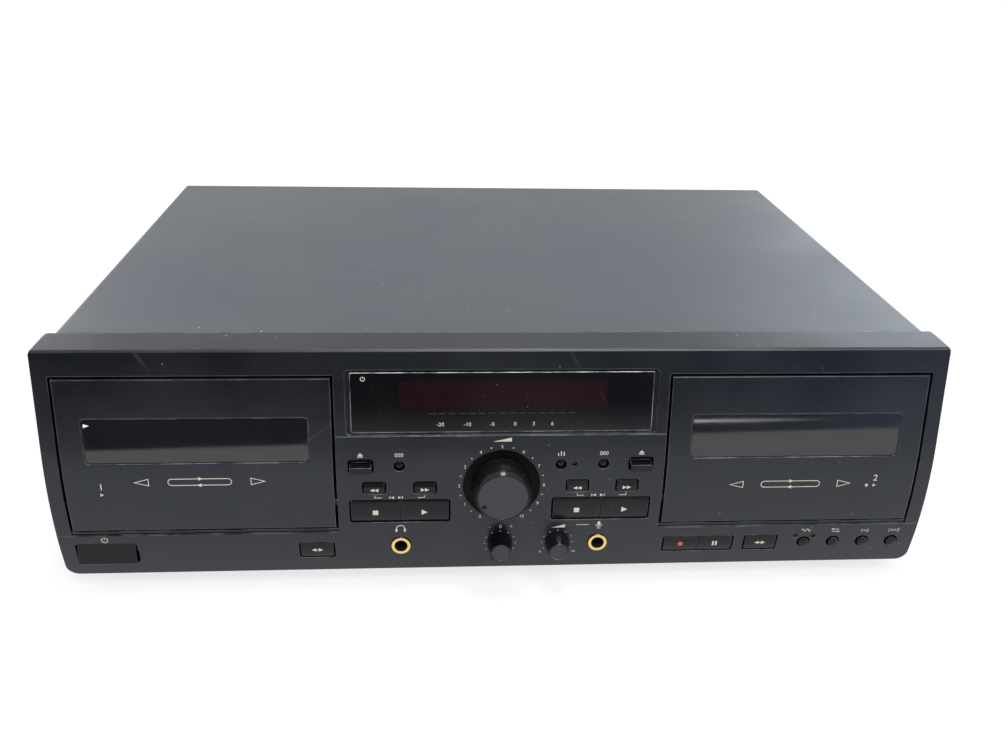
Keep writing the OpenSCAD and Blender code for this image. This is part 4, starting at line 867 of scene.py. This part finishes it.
class DECK_OT_front_marks(bpy.types.Operator):
    """Print the numbers, signs and lines on the fixed front, and lay a ring of painted shade in the level knob's well
    """
    bl_idname = "deck.front_marks"
    bl_label = "Front print"

    def execute(self, context):
        marks = self.dial_numbers(context.scene.deck_prints.dial_radius / MM) + level_sign(0, LEVEL_SIGN, 9.0)
        for s in (-1, 1):
            marks += eject_sign(s * EJECT_X, EJECT_SIGNS) + figures("000", s * GROUP_X, COUNTER_SIGNS, 2.0)
            marks += self.scan_bracket(s * GROUP_X)
        marks += bars_sign(MATCH_X, COUNTER_SIGNS)
        marks += headphone_sign(-GROUP_X, SOCKET_SIGNS) + microphone_sign(GROUP_X, SOCKET_SIGNS - 0.4)
        marks += box(41.6, SOCKET_SIGNS - 0.4, 6.6, 0.32) + level_sign(MIX_X, SOCKET_SIGNS + 0.2, 7.0)
        for text, x, height in (("-", -5.4, 2.0), ("0", 0, 1.9), ("+", 5.4, 2.0)):
            marks += figures(text, x, SOCKET_SIGNS, height)
        marks += figures("0", MIX_X - 8.4, DIAL_ENDS, 1.5) + figures("10", MIX_X + 8.6, DIAL_ENDS, 1.5)
        marks += power_sign(POWER_X, POWER_SIGN)
        marks += wave_sign(MODE_X[0], MODE_SIGNS - 0.4) + turn_sign(MODE_X[1], MODE_SIGNS)
        for text, x in (("1>2", MODE_X[2]), ("1>>2", MODE_X[3])):
            marks += figures(text, x, MODE_SIGNS + 0.4, 2.0)
        print_piece("front_print", marks, "case", FINISHES["cream_ink"], front_back)
        # Painted shade: a matte black ring on the floor of the level knob's well, for the dark round the knob.
        black = make_finish("painted_well_shade", [], (0.0016, 0.0016, 0.0018), 0.55, (0.004, 0.004, 0.004),
                            {"Specular IOR Level": 0.12}, grain=2600, bump=0.05, dust=0.2)
        shade_ring_r, shade_ring_width = 16.6, 4.4
        ring = arc(0.0, DIAL_DROP, shade_ring_r, 0, 360, shade_ring_width, 96)
        print_piece("painted_well_shade_ring", ring, "case", black, well_floor)
        return {"FINISHED"}

    def dial_numbers(self, r):
        """0 to 10 round the level knob."""
        marks = []
        for i in range(11):
            marks += figures(str(i), *clock_point(0.0, DIAL_DROP, r, math.radians(210 + 30 * i)), 1.7)
        return marks

    def scan_bracket(self, x):
        """Lines that join two wind keys, with a skip sign each way between them."""
        half, top, bottom, run, width = 12.2, 74.3, 75.6, 3.4, 0.3
        marks = []
        for way in (-1, 1):
            end = x + way * half
            marks += stroke([(end, top), (end, bottom), (end - way * run, bottom)], width)
        return marks + skip_sign(x, SCAN_SIGNS, 1) + skip_sign(x - 3.6, SCAN_SIGNS, -1)


class DECK_OT_door_marks(bpy.types.Operator):
    """Print the tape signs and deck numbers on the doors"""
    bl_idname = "deck.door_marks"
    bl_label = "Door print"

    def execute(self, context):
        white = ink_finish("white_ink", (0.8, 0.8, 0.78))
        print_piece("window_pointer", arrow(*POINTER_PLACE, 2.7, 1.8, 1), "door_assembly_a", white,
                    set_in(POINTER_INSET))
        for side, x, number, number_x, row in (("a", -DECK_X, "1", -192.0, 65.4), ("b", DECK_X, "2", 189.0, 70.6)):
            marks = loop_sign(x, row, 30.0, 3.4) + figures(number, number_x, DOOR_NUMBERS, 3.4)
            for way in (-1, 1):
                marks += hollow_arrow(x + way * 27.5, row, 6.6, 3.6, way, 0.36)
            marks += arrow(number_x, DOOR_ARROWS, 1.6, 1.7, 1)
            if side == "b":
                marks += disc(number_x - 4.0, DOOR_ARROWS, 0.8)
            print_piece("door_print_" + side, marks, "door_assembly_" + side, FINISHES["cream_ink"], front_back)
        return {"FINISHED"}


# Geometry nodes

def grow_tree(name, inputs):
    """An empty tree with named inputs: the tree and its inputs."""
    tree = bpy.data.node_groups.new(name, "GeometryNodeTree")
    for label, kind in inputs.items():
        tree.interface.new_socket(name=label, in_out="INPUT", socket_type="NodeSocket" + kind)
    tree.interface.new_socket(name="Geometry", in_out="OUTPUT", socket_type="NodeSocketGeometry")
    return tree, tree.nodes.new("NodeGroupInput").outputs


def repeat_shape(tree, shape, finish, **sockets):
    """Ends a tree: puts a shape on points, makes the copies real and paints them."""
    copies = add_node(tree, "GeometryNodeInstanceOnPoints", {"Instance": shape, **sockets})
    real = add_node(tree, "GeometryNodeRealizeInstances", {0: copies.outputs[0]})
    paint = add_node(tree, "GeometryNodeSetMaterial", {"Geometry": real.outputs[0], "Material": finish})
    add_node(tree, "NodeGroupOutput", {0: paint.outputs[0]})


def dot_tree():
    """Round dots on a circle on the bowed front."""
    tree, inside = grow_tree("dial_dots", {
        "Centre X": "Float", "Centre Z": "Float", "Circle Radius": "Float", "Dot Radius": "Float", "Count": "Int",
        "Start": "Float", "Step": "Float", "Thickness": "Float", "Finish": "Material"})
    index = add_node(tree, "GeometryNodeInputIndex").outputs[0]
    turn = math_node(tree, "ADD", times(tree, index, inside["Step"]), inside["Start"])
    x, z = [math_node(tree, "ADD", times(tree, math_node(tree, wave, turn), inside["Circle Radius"]), inside[centre])
            for wave, centre in (("SINE", "Centre X"), ("COSINE", "Centre Z"))]
    rise = math_node(tree, "SUBTRACT", z, (FRONT_TOP - BOW_DROP) * MM)
    ahead = math_node(tree, "SQRT", math_node(tree, "SUBTRACT", (BOW_R * MM) ** 2, times(tree, rise, rise)))
    y = math_node(tree, "SUBTRACT", (BOW_BACK - MID_BACK) * MM, ahead)
    spot = add_node(tree, "ShaderNodeCombineXYZ", {0: x, 1: y, 2: z})
    tilt = math_node(tree, "ARCSINE", math_node(tree, "DIVIDE", rise, BOW_R * MM))
    facing = add_node(tree, "ShaderNodeCombineXYZ", {0: math_node(tree, "SUBTRACT", math.pi / 2, tilt)})
    points = add_node(tree, "GeometryNodePoints", {"Count": inside["Count"], "Position": spot.outputs[0]})
    dot = add_node(tree, "GeometryNodeMeshCylinder", {"Vertices": 14, "Radius": inside["Dot Radius"],
                                                      "Depth": inside["Thickness"]})
    repeat_shape(tree, dot.outputs["Mesh"], inside["Finish"], Points=points.outputs[0], Rotation=facing.outputs[0])
    return tree


def dash_tree():
    """A row of small bars along x."""
    tree, inside = grow_tree("display_dashes", {
        "Start": "Vector", "Pitch": "Float", "Count": "Int", "Size": "Vector", "Finish": "Material"})
    step = add_node(tree, "ShaderNodeCombineXYZ", {0: inside["Pitch"]})
    line = add_node(tree, "GeometryNodeMeshLine", {"Count": inside["Count"], "Start Location": inside["Start"],
                                                   "Offset": step.outputs[0]})
    bar = add_node(tree, "GeometryNodeMeshCube", {"Size": inside["Size"]})
    repeat_shape(tree, bar.outputs["Mesh"], inside["Finish"], Points=line.outputs[0])
    return tree


def grown_piece(name, tree, values):
    """Runs a geometry-node tree once and keeps its result as a plain mesh on the case."""
    seed = bpy.data.objects.new(name + "_seed", bpy.data.meshes.new(name + "_seed"))
    bpy.context.scene.collection.objects.link(seed)
    modifier = seed.modifiers.new("grow", "NODES")
    modifier.node_group = tree
    sockets = {s.name: s.identifier for s in tree.interface.items_tree if s.in_out == "INPUT"}
    for label, value in values.items():
        modifier[sockets[label]] = value
    mesh = evaluated_mesh(seed)
    if not mesh.polygons:
        raise RuntimeError(name + " came out empty")
    mesh.name = name
    bpy.data.objects.remove(seed)
    return link_piece(name, mesh, "case", None)


class DECK_OT_dial_dots(bpy.types.Operator):
    """Print the dots round the level knob and the small knobs"""
    bl_idname = "deck.dial_dots"
    bl_label = "Dial dots"

    def execute(self, context):
        inks = context.scene.deck_prints
        tree = dot_tree()
        small_r, small_share, sweep = 0.0079, 0.85, 300
        small = (inks.dot_radius * small_share, inks.small_dots, 210, sweep / (inks.small_dots - 1))
        rows = (("level_dial_dots", 0.0, DIAL_DROP, inks.dial_radius, inks.dot_radius, 10, 225, 30),
                ("pitch_dial_dots", 0.0, SMALL_DROP, small_r, *small),
                ("mix_dial_dots", MIX_X, SMALL_DROP, small_r, *small))
        for name, x, drop, circle, dot, count, start, step in rows:
            grown_piece(name, tree, {
                "Centre X": x * MM, "Centre Z": (FRONT_TOP - drop) * MM, "Circle Radius": circle, "Dot Radius": dot,
                "Count": count, "Start": math.radians(start), "Step": math.radians(step), "Thickness": 0.00008,
                "Finish": FINISHES["cream_ink"]})
        return {"FINISHED"}


class DECK_OT_display(bpy.types.Operator):
    """Print the row of dashes and the level scale on the display window"""
    bl_idname = "deck.display"
    bl_label = "Display"

    def execute(self, context):
        lens = set_in(LENS_INSET)
        grown_piece("display_dashes", dash_tree(), {
            "Start": place(-34.0, lens(DASH_ROW), DASH_ROW), "Pitch": 0.0048, "Count": 15,
            "Size": Vector((0.0034, 0.00008, 0.0004)), "Finish": ink_finish("dim_red_dash", (0.027, 0.008, 0.011))})
        marks = power_sign(-66.5, 14.2, 1.0)
        for text, x in (("-20", -30), ("-10", -17), ("-5", -5), ("0", 6), ("3", 15), ("6", 24)):
            marks += figures(text, x, SCALE_ROW, 1.9)
        print_piece("display_scale", marks, "case", FINISHES["cream_ink"], lens)
        return {"FINISHED"}


class DECK_OT_back_marks(bpy.types.Operator):
    """Print the plain signs beside the sockets on the back"""
    bl_idname = "deck.back_marks"
    bl_label = "Back print"

    def execute(self, context):
        x, drop = self.centre("line_sockets")
        marks = stroke(box(x, drop, 32, 32)[0], 0.4, closed=True)
        marks += arrow(x + 20, drop - 7, 3.2, 3.0, 1) + box(x + 17.6, drop - 7, 2.4, 0.6)
        marks += arrow(x + 18, drop + 7, 3.2, 3.0, -1) + box(x + 20.4, drop + 7, 2.4, 0.6)
        gland_x, gland_drop = self.centre("mains_gland")
        marks += wave_sign(gland_x, gland_drop - 12)
        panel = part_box("rear_panel")[1].y / MM + MID_BACK
        inks = context.scene.deck_prints
        lift = (inks.ink_lift - inks.ink_depth) / MM
        print_piece("back_print", marks, "case", FINISHES["cream_ink"], lambda drop: panel + lift)
        return {"FINISHED"}

    def centre(self, node):
        low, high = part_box(node)
        middle = (low + high) / 2 / MM
        return middle.x, FRONT_TOP - middle.z


class DECK_OT_stage(bpy.types.Operator):
    """Set the floor, the light and the camera"""
    bl_idname = "deck.stage"
    bl_label = "Stage"

    def execute(self, context):
        scene = context.scene
        scene.view_settings.view_transform = "Standard"
        self.floor(scene)
        self.world(scene)
        self.sun(scene, "sky_light", (0.22, -0.72, 1.0), 1.75, 0.45)
        self.lamp(scene, "top_light", (0.05, -0.2, 1.3), (0.02, -0.16, 0.08), 0.3, 6.6, (1.0, 0.97, 0.92))
        self.lamp(scene, "right_light", (1.25, 1.5, 0.75), (0.1, 0.0, 0.1), 1.1, 8.5, (0.82, 0.91, 1.0))
        self.lamp(scene, "left_light", (-1.25, 1.5, 0.75), (-0.1, 0.0, 0.1), 0.9, 5.0, (0.95, 0.98, 1.0))
        self.flag(scene)
        self.streak(scene)
        self.camera(scene)
        return {"FINISHED"}

    def stage_sheet(self, scene, name, corners, finish):
        """A flat four-sided sheet of the stage with a new material: the object, the tree and its shader."""
        mesh = bpy.data.meshes.new(name)
        mesh.from_pydata(corners, [], [(0, 1, 2, 3)])
        obj = bpy.data.objects.new(name, mesh)
        scene.collection.objects.link(obj)
        made = bpy.data.materials.new(finish)
        made.use_nodes = True
        mesh.materials.append(made)
        return obj, made.node_tree, made.node_tree.nodes["Principled BSDF"]

    def seen_rays(self, tree):
        """One for rays from the camera, from gloss and through glass, nought for the light that falls on the deck."""
        path = add_node(tree, "ShaderNodeLightPath").outputs
        bent = math_node(tree, "MAXIMUM", path["Is Glossy Ray"], path["Is Transmission Ray"])
        return math_node(tree, "MAXIMUM", path["Is Camera Ray"], bent)

    def floor(self, scene):
        side, white_share = 12.0, 0.75
        corners = [(-side, -side, 0), (side, -side, 0), (side, side, 0), (-side, side, 0)]
        _, tree, shader = self.stage_sheet(scene, "floor", corners, "floor_paper")
        for label, value in (("Base Color", scene.deck_stage.floor), ("Roughness", 0.8), ("Specular IOR Level", 0.2)):
            feed(tree, shader.inputs[label], value)
        white = add_node(tree, "ShaderNodeEmission", {"Color": (1.0, 1.0, 1.0), "Strength": 1.0})
        mix = add_node(tree, "ShaderNodeMixShader", {0: times(tree, self.seen_rays(tree), white_share),
                                                     1: shader.outputs[0], 2: white.outputs[0]})
        feed(tree, tree.nodes["Material Output"].inputs[0], mix.outputs[0])

    def world(self, scene):
        made = bpy.data.worlds.new("studio")
        made.use_nodes = True
        tree = made.node_tree
        tree.nodes.clear()
        soft = add_node(tree, "ShaderNodeBackground", {"Color": (0.95, 0.975, 1.0), "Strength": 0.85})
        seen = add_node(tree, "ShaderNodeBackground", {"Color": (1.0, 1.0, 1.0), "Strength": 1.0})
        mix = add_node(tree, "ShaderNodeMixShader", {0: self.seen_rays(tree), 1: soft.outputs[0], 2: seen.outputs[0]})
        add_node(tree, "ShaderNodeOutputWorld", {0: mix.outputs[0]})
        scene.world = made

    def hang_light(self, scene, name, data, toward, spot=(0, 0, 0)):
        """Links a light whose back looks toward a direction."""
        obj = bpy.data.objects.new(name, data)
        obj.location = spot
        obj.rotation_mode = "QUATERNION"
        obj.rotation_quaternion = Vector(toward).to_track_quat("Z", "Y")
        scene.collection.objects.link(obj)

    def sun(self, scene, name, toward, strength, spread):
        """Even light from a wide patch of sky."""
        data = bpy.data.lights.new(name, "SUN")
        data.energy = strength
        data.angle = spread
        data.color = (0.93, 0.97, 1.0)
        self.hang_light(scene, name, data, toward)

    def lamp(self, scene, name, spot, target, size, power, colour):
        data = bpy.data.lights.new(name, "AREA")
        data.color = colour
        data.shape = "DISK"
        data.size = size
        data.energy = power
        self.hang_light(scene, name, data, Vector(spot) - Vector(target), spot)

    def card(self, scene, name, corners, low, high):
        """A sheet that only gloss sees: its tree, its shader, and the share of the way from low to high along x."""
        obj, tree, shader = self.stage_sheet(scene, name, corners, name)
        obj.visible_camera = False
        obj.visible_diffuse = False
        obj.visible_shadow = False
        obj.visible_transmission = False
        return tree, shader, ramp_node(tree, axes(tree)["X"], low, high)

    def flag(self, scene):
        """A dark card ahead of the deck, so that the upper front stays dark."""
        corners = [(-1.6, -0.365, 0.001), (1.6, -0.62, 0.001), (1.6, -0.84, 0.8), (-1.6, -0.585, 0.8)]
        tree, shader, share = self.card(scene, "dark_card", corners, 0.05, 0.6)
        feed(tree, shader.inputs["Base Color"], mix_colour(tree, share, (0.006, 0.009, 0.02), (0.3, 0.38, 0.56)))
        feed(tree, shader.inputs["Roughness"], 1.0)

    def streak(self, scene):
        """A thin bright strip ahead of the right door, for the streak in its window."""
        corners = [(0.172, -0.491, 0.015), (0.318, -0.5026, 0.0131), (0.318, -0.503, 0.0145), (0.172, -0.4914, 0.0166)]
        tree, shader, share = self.card(scene, "streak_card", corners, 0.18, 0.315)
        feed(tree, shader.inputs["Base Color"], (0.0, 0.0, 0.0))
        feed(tree, shader.inputs["Emission Strength"], 8.0)
        feed(tree, shader.inputs["Emission Color"], mix_colour(tree, share, (1.0, 0.96, 0.92), (0.06, 0.06, 0.06)))

    def camera(self, scene):
        data = bpy.data.cameras.new("camera")
        data.sensor_width = 36.0
        data.lens = scene.deck_stage.lens
        obj = bpy.data.objects.new("camera", data)
        right = Vector((0.99758, -0.06496, 0.02463))
        up = Vector((0.00528, 0.42431, 0.9055))
        back = Vector((-0.06927, -0.90319, 0.42362))
        turn = Matrix((right, up, back)).transposed().to_4x4()
        obj.matrix_world = Matrix.Translation((-0.0325, -0.56961, 0.31722)) @ turn
        scene.collection.objects.link(obj)
        scene.camera = obj


class DECK_PT_panel(bpy.types.Panel):
    """Finishes and print of the cassette deck"""
    bl_idname = "DECK_PT_panel"
    bl_label = "Cassette Deck"
    bl_space_type = "VIEW_3D"
    bl_region_type = "UI"
    bl_category = "Cassette Deck"

    def draw(self, context):
        for name, group in GROUP_PLACES:
            column = self.layout.column(align=True)
            for label in group.__annotations__:
                column.prop(getattr(context.scene, name), label)
        for operator in OPERATORS:
            self.layout.operator(operator.bl_idname)


OPERATORS = (DECK_OT_shader_groups, DECK_OT_finish_case, DECK_OT_finish_doors, DECK_OT_finish_controls,
             DECK_OT_level_knob, DECK_OT_finish_sockets, DECK_OT_finish_mechanism, DECK_OT_key_marks,
             DECK_OT_front_marks, DECK_OT_door_marks, DECK_OT_dial_dots, DECK_OT_display, DECK_OT_back_marks,
             DECK_OT_stage)
GROUP_PLACES = (("deck_finishes", DeckFinishes), ("deck_prints", DeckPrints), ("deck_stage", DeckStage))


def register():
    for name, group in GROUP_PLACES:
        bpy.utils.register_class(group)
        setattr(bpy.types.Scene, name, PointerProperty(type=group))
    for made in (*OPERATORS, DECK_PT_panel):
        bpy.utils.register_class(made)


def unregister():
    for made in (DECK_PT_panel, *reversed(OPERATORS)):
        bpy.utils.unregister_class(made)
    for name, group in reversed(GROUP_PLACES):
        delattr(bpy.types.Scene, name)
        bpy.utils.unregister_class(group)


def main():
    register()
    for operator in OPERATORS:
        kind, name = operator.bl_idname.split(".")
        getattr(getattr(bpy.ops, kind), name)()


if __name__ == "__main__":
    main()
